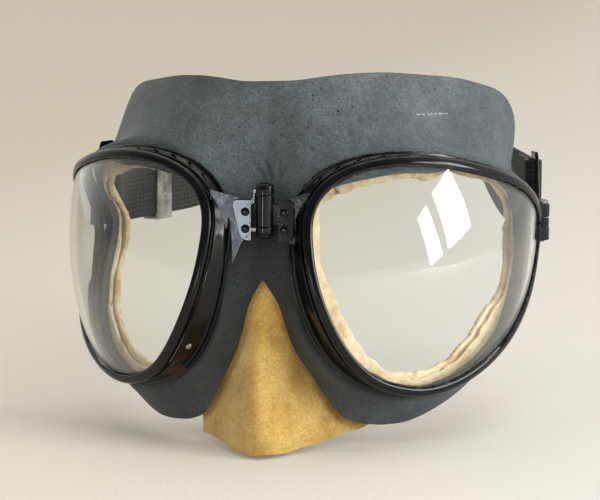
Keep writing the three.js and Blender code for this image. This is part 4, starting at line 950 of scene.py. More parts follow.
# Closing screws with slotted heads.
def screw_piece():
    head = LUG_HIGH + LUG_GAP
    screw = turned("rim_screw_right_slotted", [
        (0, LUG_LOW - 0.6), (SCREW_RADIUS * 0.8, LUG_LOW - 0.6), (SCREW_RADIUS, LUG_LOW - 0.3),
        (SCREW_RADIUS, head), (SCREW_HEAD_RADIUS - 0.15, head), (SCREW_HEAD_RADIUS, head + 0.15),
        (SCREW_HEAD_RADIUS, head + 0.55), (SCREW_HEAD_RADIUS * 0.86, head + 0.9),
        (SCREW_HEAD_RADIUS * 0.5, head + 1.12), (0, head + SCREW_HEAD_HEIGHT),
    ], (LUG_X, LUG_Y, 0))
    half = SCREW_SLOT_WIDTH / 2
    slot = block("slot", (LUG_X - 3, LUG_Y - half, head + 0.6), (LUG_X + 3, LUG_Y + half, head + 2))
    combine(screw, moved(slot, about(LUG_X, LUG_Y, 0.6)), "DIFFERENCE")
    return smooth(screw)


pair(screw_piece(), "rim_screw", "slotted", nickel, flat=False)

# Strap tabs: a flat slotted plate on a knuckle between the lugs, swung in towards the strap.
TOE = math.radians(STRAP_TOE_IN)
TAB_HALF = TAB_SLOT_LENGTH / 2 + TAB_END
TAB_MIDDLE_Z = LUG_Z + TAB_RISE
TAB_NECK_Y = LUG_Y + TAB_NECK
TAB_SLOT_Y = LUG_Y + TAB_TO_SLOT
TAB_BAR_Y = TAB_SLOT_Y + TAB_SLOT_WIDTH + TAB_BAR / 2
TAB_TAIL_Y = TAB_SLOT_Y + TAB_SLOT_WIDTH + TAB_BAR
TAB_X = LUG_X - TAB_SET_IN


def quarter(a, b, c, steps=6):
    """Points of a rounded corner from a to c round b."""
    points = []
    for i in range(steps + 1):
        k = i / steps
        points.append(tuple(mixed(mixed(a[j], b[j], k), mixed(b[j], c[j], k), k) for j in (0, 1)))
    return points


def tab_piece():
    low = TAB_MIDDLE_Z - TAB_HALF
    high = TAB_MIDDLE_Z + TAB_HALF
    plan = [(LUG_Y, KNUCKLE_LOW)]
    shoulder = TAB_NECK_Y + TAB_SHOULDER
    plan += quarter((TAB_NECK_Y - 0.6, KNUCKLE_LOW), (TAB_NECK_Y + 2, low), (shoulder, low))
    plan += quarter((TAB_TAIL_Y - TAB_CORNER, low), (TAB_TAIL_Y, low), (TAB_TAIL_Y, low + TAB_CORNER))
    plan += quarter((TAB_TAIL_Y, high - TAB_CORNER), (TAB_TAIL_Y, high), (TAB_TAIL_Y - TAB_CORNER, high))
    plan += quarter((shoulder, high), (TAB_NECK_Y + 2, high), (TAB_NECK_Y - 0.6, KNUCKLE_HIGH))
    plan += [(LUG_Y, KNUCKLE_HIGH)]
    back = TAB_X - TAB_THICKNESS / 2
    tab = plate("strap_tab_right_plate", [Vector((back, y, z)) for y, z in plan], (TAB_THICKNESS, 0, 0))
    slot = block("slot", (back - 1, TAB_SLOT_Y, TAB_MIDDLE_Z - TAB_SLOT_LENGTH / 2),
                 (back + 3, TAB_SLOT_Y + TAB_SLOT_WIDTH, TAB_MIDDLE_Z + TAB_SLOT_LENGTH / 2))
    combine(tab, slot, "DIFFERENCE")
    bevel(tab, 0.3)
    moved(tab, about(LUG_X, LUG_Y, TOE))
    combine(tab, rod("knuckle", LUG_RADIUS - 0.1, KNUCKLE_LOW, KNUCKLE_HIGH, LUG_X, LUG_Y), "UNION")
    combine(tab, screw_bore(KNUCKLE_LOW, KNUCKLE_HIGH), "DIFFERENCE")
    return smooth(tab)


pair(tab_piece(), "strap_tab", "plate", hinge_enamel)


# Eyecup shells: a pressed wall and flange, vents along the top, and a flat ear beside the hinge.
def shell_ring():
    outer = SHELL_INNER + SHELL_THICKNESS
    columns = []
    for s in ring_stations:
        front = shell_front(s)
        back = shell_depth(s)
        dent = noise.noise(Vector((s.u * 0.3, s.v * 0.3, 2.5)))
        reach = flange_reach(s) + FLANGE_DENT_OUT * dent
        bead = back - FLANGE_THICKNESS + FLANGE_DENT_BACK * dent
        columns.append([on_face(away(s, *point)) for point in (
            (SHELL_INNER, front + 0.1), (SHELL_INNER + 0.25, front), (outer - 0.25, front + 0.05),
            (outer, front + 0.3), (outer, mixed(front, bead, 0.45)), (outer, bead - 1.0),
            (outer + 0.08, bead - 0.45), (outer + 0.32, bead - 0.12), (outer + 0.7, bead),
            (reach - 0.42, bead), (reach - 0.16, bead + 0.1), (reach, bead + 0.34), (reach, back - 0.34),
            (reach - 0.16, back - 0.1), (reach - 0.42, back), (outer, back), (SHELL_INNER + 0.2, back),
            (SHELL_INNER, back - 0.2),
        )])
    loops = [list(loop) for loop in zip(*columns)]
    shell = drawn_out("eyecup_shell_right_pressing", loops, "ring")
    for i in range(VENT_COUNT):
        s = station(math.radians(mixed(VENT_FIRST_ANGLE, VENT_LAST_ANGLE, i / (VENT_COUNT - 1))))
        at = (shell_front(s) + shell_depth(s) - FLANGE_THICKNESS) / 2
        slot = block("slot", (-3, -VENT_WIDTH / 2, -VENT_LENGTH / 2), (3, VENT_WIDTH / 2, VENT_LENGTH / 2))
        bevel(slot, 0.4, 2)
        p = away(s, SHELL_INNER, at) * MM
        eye = Matrix.Translation(EYE.to_translation() * MM) @ EYE.to_3x3().to_4x4()
        moved(slot, eye @ Matrix.Translation(p) @ Matrix.Rotation(-math.atan2(s.out_v, s.out_u), 4, "Y"))
        combine(shell, slot, "DIFFERENCE")
    notch = rod("notch", LUG_RADIUS + LUG_GAP, LUG_LOW - LUG_GAP, LUG_HIGH + LUG_GAP, LUG_X, LUG_Y)
    combine(shell, notch, "DIFFERENCE")
    return combine(shell, lug_web(LUG_LOW, LUG_HIGH, LUG_GAP), "DIFFERENCE")


def with_ear(shell, side):
    axis = side * HINGE_X
    sign = Matrix.Scale(side, 4, (1, 0, 0))
    toe = axis + LEAF_REACH
    cut = block("cut", (axis - 2, HINGE_Y - 12, LEAF_LOW - 0.6), (toe + 0.5, EAR_FRONT_Y, LEAF_HIGH + 0.6))
    combine(shell, clean(moved(cut, sign)), "DIFFERENCE")
    root = axis + EAR_INNER
    foot = LEAF_LOW - EAR_FOOT_DROP
    plan = [
        (root, LEAF_LOW + 0.6), (toe - 2.2, LEAF_LOW + 0.3), (toe - 1.2, LEAF_LOW - 0.9),
        (toe + 1.2, foot + 0.6), (EAR_OUTER, foot), (EAR_OUTER, LEAF_HIGH + EAR_TOP_RISE),
        (root + 1.6, LEAF_HIGH - 0.4), (root, LEAF_HIGH - 1.8),
    ]
    ear = plate("ear", [Vector((x, EAR_FRONT_Y, z)) for x, z in plan], (0, EAR_THICKNESS, 0))
    hollow = []
    for out, back in ((SHELL_INNER + 0.02, -6), (SHELL_INNER + 0.02, 20), (-9, 20), (-9, -6)):
        hollow.append([on_face(away(s, out, back)) for s in ring_stations])
    combine(ear, drawn_out("hollow", hollow, "ring"), "DIFFERENCE")
    room = []
    for inside, back in ((True, -0.15), (False, -0.15), (False, 9), (True, 9)):
        loop = []
        for s in ring_stations:
            loop.append(on_face(away(s, -9 if inside else flange_reach(s) - 0.2, shell_depth(s) + back)))
        room.append(loop)
    combine(ear, drawn_out("room", room, "ring"), "DIFFERENCE")
    bevel(ear, 0.2, 2)
    combine(shell, clean(moved(ear, sign)), "UNION")
    return even_shading(smooth(shell))


shell_right = shell_ring()
shell_left = opposite(shell_right, "eyecup_shell_left_pressing")
dressed(with_ear(shell_right, 1), enamel, "right_half", ["eyecup_shell_right"])
dressed(with_ear(shell_left, -1), enamel, "left_half", ["eyecup_shell_left"])

# Bridge hinge: two leaves with rolled knuckles, a domed pin and two rivets a side.
MIDDLE_LOW = HINGE_Z - MIDDLE_KNUCKLE / 2
MIDDLE_HIGH = HINGE_Z + MIDDLE_KNUCKLE / 2
BARREL_LOW = MIDDLE_LOW - KNUCKLE_GAP - END_KNUCKLE
BARREL_HIGH = MIDDLE_HIGH + KNUCKLE_GAP + END_KNUCKLE


def leaf_plan(axis, knuckles, side):
    """The leaf's outline with its arms; the left one narrows to a tongue and runs up to the top knuckle."""
    reach = axis + LEAF_REACH
    start = axis + HINGE_RADIUS + LEAF_STAND_OFF
    foot = reach - (LEAF_NARROWING if side < 0 else 0)
    top = reach + (LEAF_FLARE if side < 0 else 0)
    lower = (mixed(foot, top, 0.2), LEAF_LOW + LEAF_CORNER)
    upper = (mixed(foot, top, 0.8), LEAF_HIGH - LEAF_CORNER)
    plan = quarter((foot - LEAF_CORNER, LEAF_LOW), (foot, LEAF_LOW), lower)
    plan += quarter(upper, (top, LEAF_HIGH), (top - LEAF_CORNER, LEAF_HIGH))
    if side < 0:
        plan += [(start + 0.4, LEAF_HIGH), (start - 0.3, LEAF_HIGH + 0.9)]
        plan += [(start - 0.3, BARREL_HIGH - 0.6), (start - 0.7, BARREL_HIGH - 0.2)]
    else:
        plan += [(start, LEAF_HIGH)]
    for low, high in reversed(knuckles):
        raised = high > LEAF_HIGH + 2
        arm_high = high - 0.2 if side < 0 else LEAF_HIGH - 1.2
        arm_low = max(low, LEAF_LOW) + 0.2
        plan += [] if raised else [(start, arm_high)]
        plan += [(axis, arm_high), (axis, arm_low), (start - 1.2 if raised else start, arm_low)]
        plan += [(start - 1.2, LEAF_HIGH - 1), (start, LEAF_HIGH - 1.8)] if raised else []
    return plan + [(start, LEAF_LOW)]


def leaf_piece(name, knuckles, side):
    axis = side * HINGE_X
    plan = leaf_plan(axis, knuckles, side)
    leaf = plate(name, [Vector((x, LEAF_FRONT_Y, z)) for x, z in plan], (0, LEAF_THICKNESS, 0))
    bevel(leaf, 0.3, angle_limit=math.radians(50))
    for low, high in knuckles:
        knuckle = rod("knuckle", HINGE_RADIUS, low, high, axis, HINGE_Y, 56)
        bevel(knuckle, 0.18, 2)
        combine(leaf, knuckle, "UNION")
    bore = rod("bore", PIN_RADIUS + PIN_CLEARANCE, BARREL_LOW - 2, BARREL_HIGH + 2, axis, HINGE_Y)
    combine(leaf, bore, "DIFFERENCE")
    if side < 0:
        moved(leaf, Matrix.Scale(-1, 4, (1, 0, 0)))
        clean(leaf)
    return even_shading(smooth(leaf))


leaf_right = leaf_piece("hinge_leaf_right_rolled", [(MIDDLE_LOW, MIDDLE_HIGH)], 1)
leaf_left = leaf_piece("hinge_leaf_left_rolled", [
    (BARREL_LOW, MIDDLE_LOW - KNUCKLE_GAP),
    (MIDDLE_HIGH + KNUCKLE_GAP, BARREL_HIGH),
], -1)
dressed(leaf_right, hinge_enamel, "right_half", ["hinge_leaf_right"])
dressed(leaf_left, hinge_enamel, "left_half", ["hinge_leaf_left"])

dome = [(HINGE_RADIUS * math.sin(i * math.pi / 20), PIN_DOME * math.cos(i * math.pi / 20)) for i in range(11)]
PIN_LOW = BARREL_LOW - KNUCKLE_GAP
PIN_HIGH = BARREL_HIGH + KNUCKLE_GAP
pin_profile = [(r, PIN_LOW - h) for r, h in dome] + [(PIN_RADIUS, PIN_LOW), (PIN_RADIUS, PIN_HIGH)]
pin_profile += [(r, PIN_HIGH + h) for r, h in dome[::-1]]
pin = smooth(turned("hinge_pin_domed", pin_profile, (HINGE_X, HINGE_Y, 0), steps=48))
dressed(pin, hinge_enamel, "left_half", ["hinge_pin"])

for side, word, half in HALVES:
    for level, z in (("lower", LEAF_Z - RIVET_SPREAD), ("upper", LEAF_Z + RIVET_SPREAD)):
        front = LEAF_FRONT_Y - 0.02
        back = EAR_BACK_Y + 0.15
        head = [(0, 0.72), (0.55, 0.71), (0.8, 0.58), (0.95, 0.25), (1, 0)]
        profile = [(RIVET_HEAD_RADIUS * r, front - RIVET_HEAD_HEIGHT * h) for r, h in head]
        profile += [(RIVET_SHANK_RADIUS, front), (RIVET_SHANK_RADIUS, back)]
        tail = [(0.9, 0), (0.9, 0.2), (0.8, 0.25), (0, 0.25)]
        profile += [(RIVET_HEAD_RADIUS * r, back + h) for r, h in tail]
        at = (side * (side * HINGE_X + RIVET_X), 0, z)
        rivet = turned(f"leaf_rivet_{level}_{word}_domed", profile, at, "Y", 24)
        dressed(even_shading(smooth(rivet)), hinge_enamel, half, [f"leaf_rivet_{level}_{word}"])


# The oval that the rubber is moulded to: it slopes back at the top and swells at the nose arch.
def head_half(z):
    return mixed(HEAD_HALF_WIDTH_CHEEK, HEAD_HALF_WIDTH_TOP, eased(z, -20, 45))


def nose_swell(x, z):
    across = max(1 - (x / NOSE_BULGE_HALF) ** 2, 0)
    return NOSE_BULGE * across * across * (1 - eased(z, 18, 44))


def forehead_rise(z):
    return max(z - FOREHEAD_FROM_Z, 0) * FOREHEAD_SLOPE


def face_point(angle, z):
    x = head_half(z) * math.sin(angle)
    y = FACE_FRONT_Y + HEAD_LENGTH * (1 - math.cos(angle)) + forehead_rise(z) - nose_swell(x, z)
    return Vector((x, y, z))


def face_at(x, z):
    return face_point(math.asin(x / head_half(z)), z)


def curve_through(points, count):
    """Evenly spaced points of a smooth curve through given ones."""
    fine = []
    for i in range(len(points) - 1):
        a = points[max(i - 1, 0)]
        b = points[i]
        c = points[i + 1]
        d = points[min(i + 2, len(points) - 1)]
        leave = (c - a) * 0.5
        reach = (d - b) * 0.5
        for k in range(48):
            t = k / 48
            cubed = (b * 2 - c * 2 + leave + reach) * t ** 3
            squared = (c * 3 - b * 3 - leave * 2 - reach) * t ** 2
            fine.append(cubed + squared + leave * t + b)
    fine.append(points[-1].copy())
    along = [0.0]
    for a, b in zip(fine, fine[1:]):
        along.append(along[-1] + (b - a).length)
    found = []
    k = 0
    for i in range(count + 1):
        want = along[-1] * i / count
        while k < len(fine) - 2 and along[k + 1] < want:
            k += 1
        found.append(fine[k].lerp(fine[k + 1], (want - along[k]) / max(along[k + 1] - along[k], 1e-9)))
    return found


# Angle round that oval in degrees and share of the top height, from the middle of the top to the nose arch.
MASK_EDGE = [
    (0, 0.966), (4.2, 0.966), (8, 0.968), (15.6, 0.985), (23, 0.992), (31, 0.985), (40, 0.963), (50, 0.935),
    (60, 0.884), (67, 0.84), (73, 0.763), (76.6, 0.662), (75.6, 0.54), (72, 0.42), (70.4, 0.26), (70, 0.08),
    (69, -0.123), (64.5, -0.328), (57.8, -0.5), (51, -0.606), (44.4, -0.672), (38, -0.721), (33, -0.745),
    (27.5, -0.745), (22.5, -0.732),
]
# The nose arch's half width and depth below its crown, as shares of its height.
ARCH_SHARES = [
    (0, 0), (0.098, 0.17), (0.14, 0.319), (0.198, 0.489), (0.304, 0.681), (0.417, 0.872), (0.515, 1),
]
ARCH = [Vector((x * ARCH_HEIGHT, ARCH_CROWN_Z - z * ARCH_HEIGHT)) for x, z in ARCH_SHARES]
ARCH_FOOT_Z = ARCH_CROWN_Z - ARCH_HEIGHT
ARCH_FOOT_HALF = ARCH[-1].x
STRIP_TOP_Z = MASK_EDGE[0][1] * MASK_TOP_Z


def askew(x):
    return MASK_SHIFT * eased(x, 8, 30)


def temple(x, side):
    return 1 - (eased(x, 60, 69) if side < 0 else 0)


def mask_edge(side):
    outer = curve_through([Vector((a, z * MASK_TOP_Z)) for a, z in MASK_EDGE], 132)
    points = [face_point(math.radians(p.x), p.y) for p in outer]
    arch = curve_through(ARCH, 44)[::-1]
    points += [face_at(p.x, p.y) for p in arch if p.y > ARCH_FOOT_Z + 1.5]
    for i in range(1, 44):
        points.append(face_at(0, mixed(ARCH_CROWN_Z, STRIP_TOP_Z, i / 44)))
    placed = []
    for p in points:
        tilt = MASK_TILT + MASK_BROW_TILT * eased(p.z, 0, FOREHEAD_FROM_Z)
        placed.append(Vector((p.x + side * askew(p.x) * temple(p.x, side), p.y, p.z + side * tilt * p.x)))
    return placed


directions = [(math.atan2(*outline(i * math.pi / 1800)[::-1]), i * math.pi / 1800) for i in range(3600)]


def station_towards(p):
    local = EYE_BACK @ p
    want = math.atan2(local.z, local.x)
    return station(min(directions, key=lambda d: abs(math.remainder(d[0] - want, 2 * math.pi)))[1])


def beside_hinge(s):
    degrees = math.degrees(s.turn)
    return eased(degrees, 118, 146) * (1 - eased(degrees, 190, 215))


def under_flange(s):
    lugs = math.exp(-(((math.degrees(s.turn) - LUG_ANGLE + 6) / 22) ** 2))
    return mixed(MASK_UNDER_FLANGE, 0.3, max(beside_hinge(s), lugs * 0.8))


def hem_share(p):
    level = eased(p.z, -30, -18) * (1 - eased(p.z, 23, 34))
    return level * eased(p.x, 50, 58)


# Above the eyecups the sheet runs straight back from the flange to that oval, and then up along it.
def skirt_share(s):
    degrees = math.degrees(s.turn)
    brow = 1 - 0.8 * eased(degrees, 88, 112)
    return brow * eased(degrees, 50, 66) * (1 - eased(degrees, 125, 146))


def head_behind(seat):
    back = EYE_TURN.to_3x3() @ Vector((0, 1, 0))
    near = 0.0
    far = HEAD_LENGTH / 2
    for _ in range(24):
        middle = (near + far) / 2
        q = seat + back * middle
        deep = q.y - FACE_FRONT_Y - forehead_rise(q.z) - HEAD_LENGTH
        wide = head_half(q.z) + MASK_SKIRT_STAND_OFF
        if math.hypot(q.x / wide, deep / (HEAD_LENGTH + MASK_SKIRT_STAND_OFF)) > 1:
            near = middle
        else:
            far = middle
    return seat + back * far


def head_angle(q):
    return math.atan2(q.x / head_half(q.z), 1 - (q.y - FACE_FRONT_Y - forehead_rise(q.z)) / HEAD_LENGTH)


def bow(a, b, c, d):
    """A curve from a to d that leaves towards b and arrives from c."""
    return lambda t: a * (1 - t) ** 3 + b * 3 * t * (1 - t) ** 2 + c * 3 * t * t * (1 - t) + d * t ** 3


def skirt(seat, p):
    foot = head_behind(seat) - Vector((0, 0, MASK_SKIRT_DROP))
    angle = (head_angle(foot) + head_angle(p)) / 2
    off_head = Vector((math.sin(angle), -math.cos(angle), 0)) * MASK_SKIRT_STAND_OFF
    return bow(seat, foot, face_point(angle, (foot.z + p.z) / 2) + off_head, p)


def mask_half(side):
    columns = []
    for p in mask_edge(side):
        s = station_towards(p)
        front = shell_depth(s) + MASK_GAP
        reach = under_flange(s)
        lip = around(MASK_LIP, math.degrees(s.turn))
        hem = hem_share(p)
        weight = skirt_share(s) * (1 - hem)
        p = p.lerp(EYE @ away(s, reach + MASK_TEMPLE_HEM, front + 0.6), hem)
        seat = EYE @ away(s, reach, front)
        drape = skirt(seat, p)
        column = [EYE @ away(s, mixed(-lip, reach, share), front) for share in (0, 0.12, 0.35, 0.7)] + [seat]
        for k in range(MASK_SKIRT_STEPS):
            share = (k + 1) / MASK_SKIRT_STEPS
            column.append(seat.lerp(p, share).lerp(drape(share), weight))
        columns.append([Vector((side * point.x, point.y, point.z)) for point in column])
    return drawn_out(f"mask_half_{side}", [list(loop) for loop in zip(*columns)])


# Creases that gather above the hinge, as pairs of ends in front view, and small tears and pits in the brow.
CREASES = [
    ((-1.7, 39.5), (1.6, 33.2)), ((4.3, 38.8), (4.2, 33.0)), ((7.4, 38.4), (4.9, 33.6)),
    ((-4.6, 37.0), (-0.8, 33.4)),
]
PITS = [
    (28.2, 51.3, 0.8), (25.9, 47.1, 0.75), (17.2, 46.4, 0.7), (14.2, 42.3, 0.5), (22.4, 53.2, 0.45),
    (31.5, 45.6, 0.4),
]


def crease_depth(x, z):
    depth = 0.0
    for (ax, az), (bx, bz) in CREASES:
        run = Vector((bx - ax, bz - az))
        share = min(max((Vector((x - ax, z - az)).dot(run)) / run.length_squared, 0), 1)
        off = math.hypot(x - ax - run.x * share, z - az - run.y * share)
        depth += 0.75 * share ** 0.5 * (1.3 * math.exp(-(off / 0.6) ** 2) - 0.3 * math.exp(-(off / 1.6) ** 2))
    for px, pz, size in PITS:
        off = math.hypot(x - px, z - pz)
        depth += 1.0 * math.exp(-(off / size) ** 2)
    return depth


mask = mask_half(1)
left_rubber = mask_half(-1)
deselect()
left_rubber.select_set(True)
mask.select_set(True)
bpy.context.view_layer.objects.active = mask
bpy.ops.object.join()
mask.name = "rubber_mask"
mask.data.name = "rubber_mask"
clean(mask, 2e-5)
refine(mask, "SUBSURF", levels=1, render_levels=1)
for vert in mask.data.vertices:
    x, y, z = vert.co / MM
    broad = MASK_RIPPLE_BROAD * noise.noise(Vector((x * 0.06, y * 0.06, z * 0.06)))
    fine = MASK_RIPPLE_FINE * noise.noise(Vector((x * 0.2, y * 0.2, z * 0.2)))
    push = broad + fine + (crease_depth(x, z) if z > 30 else 0)
    if abs(x) < 66 and z < 66:
        vert.co -= vert.normal * push * MM
refine(mask, "SOLIDIFY", thickness=MASK_THICKNESS * MM, offset=-1, use_even_offset=False)
smooth(mask, 60)
dressed(mask, rubber, None, ["mask_left", "mask_right", "mask_bridge"])
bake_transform(mask)


# The cup's rivet has a domed head, square to the shell's wall.
def cup_rivet(name, side):
    s = station_towards(Vector(CUP_RIVET_AT))
    back = (EYE_BACK @ Vector(CUP_RIVET_AT)).y - s.depth
    outer = SHELL_INNER + SHELL_THICKNESS
    foot = on_face(away(s, outer - 0.1, back), side)
    outward = on_face(away(s, outer + 5, back), side) - foot
    profile = []
    for a in (0, 0.35, 0.7, 1.05, 1.4, math.pi / 2):
        profile.append((CUP_RIVET_RADIUS * math.cos(a), CUP_RIVET_RADIUS * 0.7 * math.sin(a)))
    profile += [(0, -0.3), (CUP_RIVET_RADIUS, -0.3)]
    rivet = turned(name, profile, (0, 0, 0), steps=24)
    turn = outward.to_track_quat("Z", "Y").to_matrix().to_4x4()
    return smooth(moved(rivet, Matrix.Translation(foot * MM) @ turn), 40)


dressed(cup_rivet("cup_rivet_left", -1), nickel, "left_half")


lining_stations = even_stations(LINING_POINTS)


def bump_at(degrees, middle, spread):
    """One near a place on the rim, falling to nothing away from it."""
    return math.exp(-((degrees - middle) / spread) ** 2)


# Eye linings: a narrow felt strip in front of a padded roll, cut by hand and open at the glue line.
def lining_layer(name, side, near, far, trims, seed):
    draw = random.Random(seed)
    slow = [(draw.randint(3, 11), draw.uniform(0, 2 * math.pi), draw.uniform(0.08, 0.3)) for _ in range(6)]
    fast = [(draw.randint(16, 48), draw.uniform(0, 2 * math.pi), draw.uniform(0.04, 0.14)) for _ in range(8)]
    columns = []
    for s in lining_stations:
        degrees = math.degrees(s.turn)
        ragged = sum(size * math.sin(count * s.turn + phase) for count, phase, size in slow + fast)
        temple_side = eased(math.cos(s.turn), -0.1, 0.3)
        front = shell_depth(s) + MASK_GAP + MASK_SEAT + LINING_GAP
        thick = FELT_THICKNESS_MEAN + FELT_THICKNESS_SWING * math.cos(s.turn)
        inside = around(LINING_REACH[side], degrees) - mixed(trims[0], trims[1], temple_side) + ragged
        # The glue line gapes at the temple side of the cup.
        gape = bump_at(degrees, 12, 9) + 0.35 * bump_at(degrees, 322, 20)
        a = front + thick * (near + (0.12 * gape if near > 0 else 0))
        b = front + thick * (far - (0.06 * gape if near == 0 else 0))
        if near == 0:
            # The strip's ends meet at the top, and it is nicked and overlapped at the temple.
            inside -= 3.2 * bump_at(degrees, 140, 1.8) if side > 0 else 2.2 * bump_at(degrees, 346, 1.2)
            inside += 0.8 * eased(degrees, 326, 331) * (1 - eased(degrees, 331.4, 332.4))
        else:
            pleat = math.sin(degrees * 2.4 + 1.3 * math.sin(degrees * 0.31))
            inside += 0.24 * (pleat * eased(degrees, 282, 292) * (1 - eased(degrees, 338, 350)))
        outside = 1.2 - 4.4 * beside_hinge(s)
        soft = min(0.45, (b - a) * 0.45)
        columns.append([on_face(away(s, *point), side) for point in (
            (-inside, a + soft), (-inside + soft * 0.3, a + soft * 0.3), (-inside + soft, a),
            (mixed(-inside, outside, 0.35), a - 0.06), (mixed(-inside, outside, 0.7), a - 0.04),
            (outside - soft, a), (outside, a + soft), (outside - 0.1, b - soft), (outside - soft - 0.1, b),
            (mixed(-inside, outside, 0.5), b + 0.05), (-inside + soft, b), (-inside, b - soft),
        )])
    loops = [list(loop) for loop in zip(*columns)]
    layer = drawn_out(name, loops, "ring")
    refine(layer, "SUBSURF", levels=1, render_levels=1)
    for vert in layer.data.vertices:
        at = vert.co / MM
        vert.co += vert.normal * MM * (0.28 * noise.noise(at * 0.5) + 0.15 * noise.noise(at * 1.7))
    return smooth(layer, 60)


for side, word, half in HALVES:
    cover = lining_layer(f"lining_{word}_front_felt", side, 0.0, FELT_SPLIT[0], (0.0, 1.3), 11 + side)
    backing = lining_layer(f"lining_{word}_back_felt", side, FELT_SPLIT[1], 1.0, (0.8, 0.0), 23 + side)
    dressed(cover, felt, half, [f"lining_{word}"])
    dressed(backing, felt, half)


# Nose guard: a soft flap tented over the nose, lapped behind the edges of the arch.
def guard_piece():
    crown = curve_through(ARCH, 300)

    def arch_half(z):
        for p in crown:
            if p.y <= z:
                return p.x
        return ARCH_FOOT_HALF + (ARCH_FOOT_Z - z) * 0.15

    rows = []
    for i in range(GUARD_ROWS + 1):
        share = i / GUARD_ROWS
        level = mixed(GUARD_TOP_Z, GUARD_BOTTOM_Z, share)
        middle = askew(arch_half(level)) + GUARD_SWAY * share * share
        row = []
        for j in range(-GUARD_HALF_COLUMNS, GUARD_HALF_COLUMNS + 1):
            across = j / GUARD_HALF_COLUMNS
            half = arch_half(level) + GUARD_LAP - (GUARD_LEFT_TRIM * share * share if across < 0 else 0)
            corner = GUARD_LEFT_RISE if across < 0 else GUARD_RIGHT_RISE
            z = level + corner * across * across * share * share
            x = middle + half * across
            rest = face_at(abs(x), max(z, ARCH_FOOT_Z)).y
            opening = max(arch_half(z) - 0.4, 0.1)
            reach = min(abs(x - askew(arch_half(z))) / opening, 1)
            bulge = GUARD_BULGE * (1 - eased(level, GUARD_BOTTOM_Z, -4))
            open_share = max(math.cos(reach * math.pi / 2), 0) ** GUARD_ROUNDNESS
            y = rest + MASK_SEAT + GUARD_GAP - bulge * open_share
            fold = GUARD_FOLD * math.sin(x * 0.42 + z * 0.05) * eased(-z, 18, 50)
            fold += 0.5 * noise.noise(Vector((x * 0.12, z * 0.09, 3)))
            y += fold * (0.25 + 0.75 * open_share) * (1 if reach < 1 else 0.0)
            hem = 0.8 * noise.noise(Vector((x * 0.16, 7, 1))) * eased(share, 0.9, 1)
            row.append(Vector((x, y, z + hem)))
        rows.append(row)
    guard = spread("nose_guard_flap", rows)
    pick(guard)
    bpy.ops.object.mode_set(mode="EDIT")
    bpy.ops.mesh.select_all(action="SELECT")
    bpy.ops.mesh.normals_make_consistent(inside=False)
    bpy.ops.object.mode_set(mode="OBJECT")
    facing = sum(polygon.normal.y * polygon.area for polygon in guard.data.polygons)
    refine(guard, "SOLIDIFY", thickness=GUARD_THICKNESS * MM, offset=-1 if facing < 0 else 1)
    clean(guard, 1e-7)
    return smooth(guard, 60)


guard = guard_piece()
dressed(guard, chamois, None, ["nose_guard"])
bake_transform(guard)

# Strap: an elastic band on edge, from the free tail on the left round the back to the sewn end on the right.
bar_from_lug = Vector((TAB_X - LUG_X, TAB_BAR_Y - LUG_Y, 0))
strap_start = Vector((LUG_X, LUG_Y, 0)) + Matrix.Rotation(TOE, 3, "Z") @ bar_from_lug
strap_along = Vector((-math.sin(TOE), math.cos(TOE), 0))
strap_across = Vector((math.cos(TOE), math.sin(TOE), 0))
TURN_RADIUS = TAB_BAR / 2 + 1.2


def lane(distance, offset):
    return strap_start + strap_along * distance + strap_across * offset


def strap_path():
    half = [lane(d, -STRAP_LAYER / 2) for d in (STRAP_SEWN_TAIL, STRAP_SEWN_TAIL * 0.66, STRAP_MEETS)]
    bend = [math.pi + i / 8 * math.pi for i in range(9)]
    half += [lane(math.sin(a) * TURN_RADIUS, math.cos(a) * TURN_RADIUS) for a in bend]
    straight = [STRAP_MEETS, STRAP_STRAIGHT * 0.5, STRAP_STRAIGHT * 0.96, STRAP_STRAIGHT]
    half += [lane(d, STRAP_LAYER / 2) for d in straight]
    lead = half[-1] + strap_along * STRAP_LEAD
    back_half = Vector((STRAP_BACK_HALF, STRAP_BACK_Y, 0))
    round_head = bow(half[-1], lead, back_half, Vector((0, STRAP_BACK_Y, 0)))
    back = [round_head(i / 14) for i in range(1, 15)]
    left = [p.copy() for p in back[:-1][::-1]]
    left += [lane(d, -STRAP_LAYER / 2) for d in straight[::-1]]
    left += [lane(math.sin(a) * TURN_RADIUS, math.cos(a) * TURN_RADIUS) for a in bend]
    left += [lane(d, STRAP_LAYER / 2) for d in (STRAP_MEETS, STRAP_FREE_TAIL * 0.5, STRAP_FREE_TAIL)]
    return half + back + [Vector((-p.x, p.y, p.z)) for p in left]


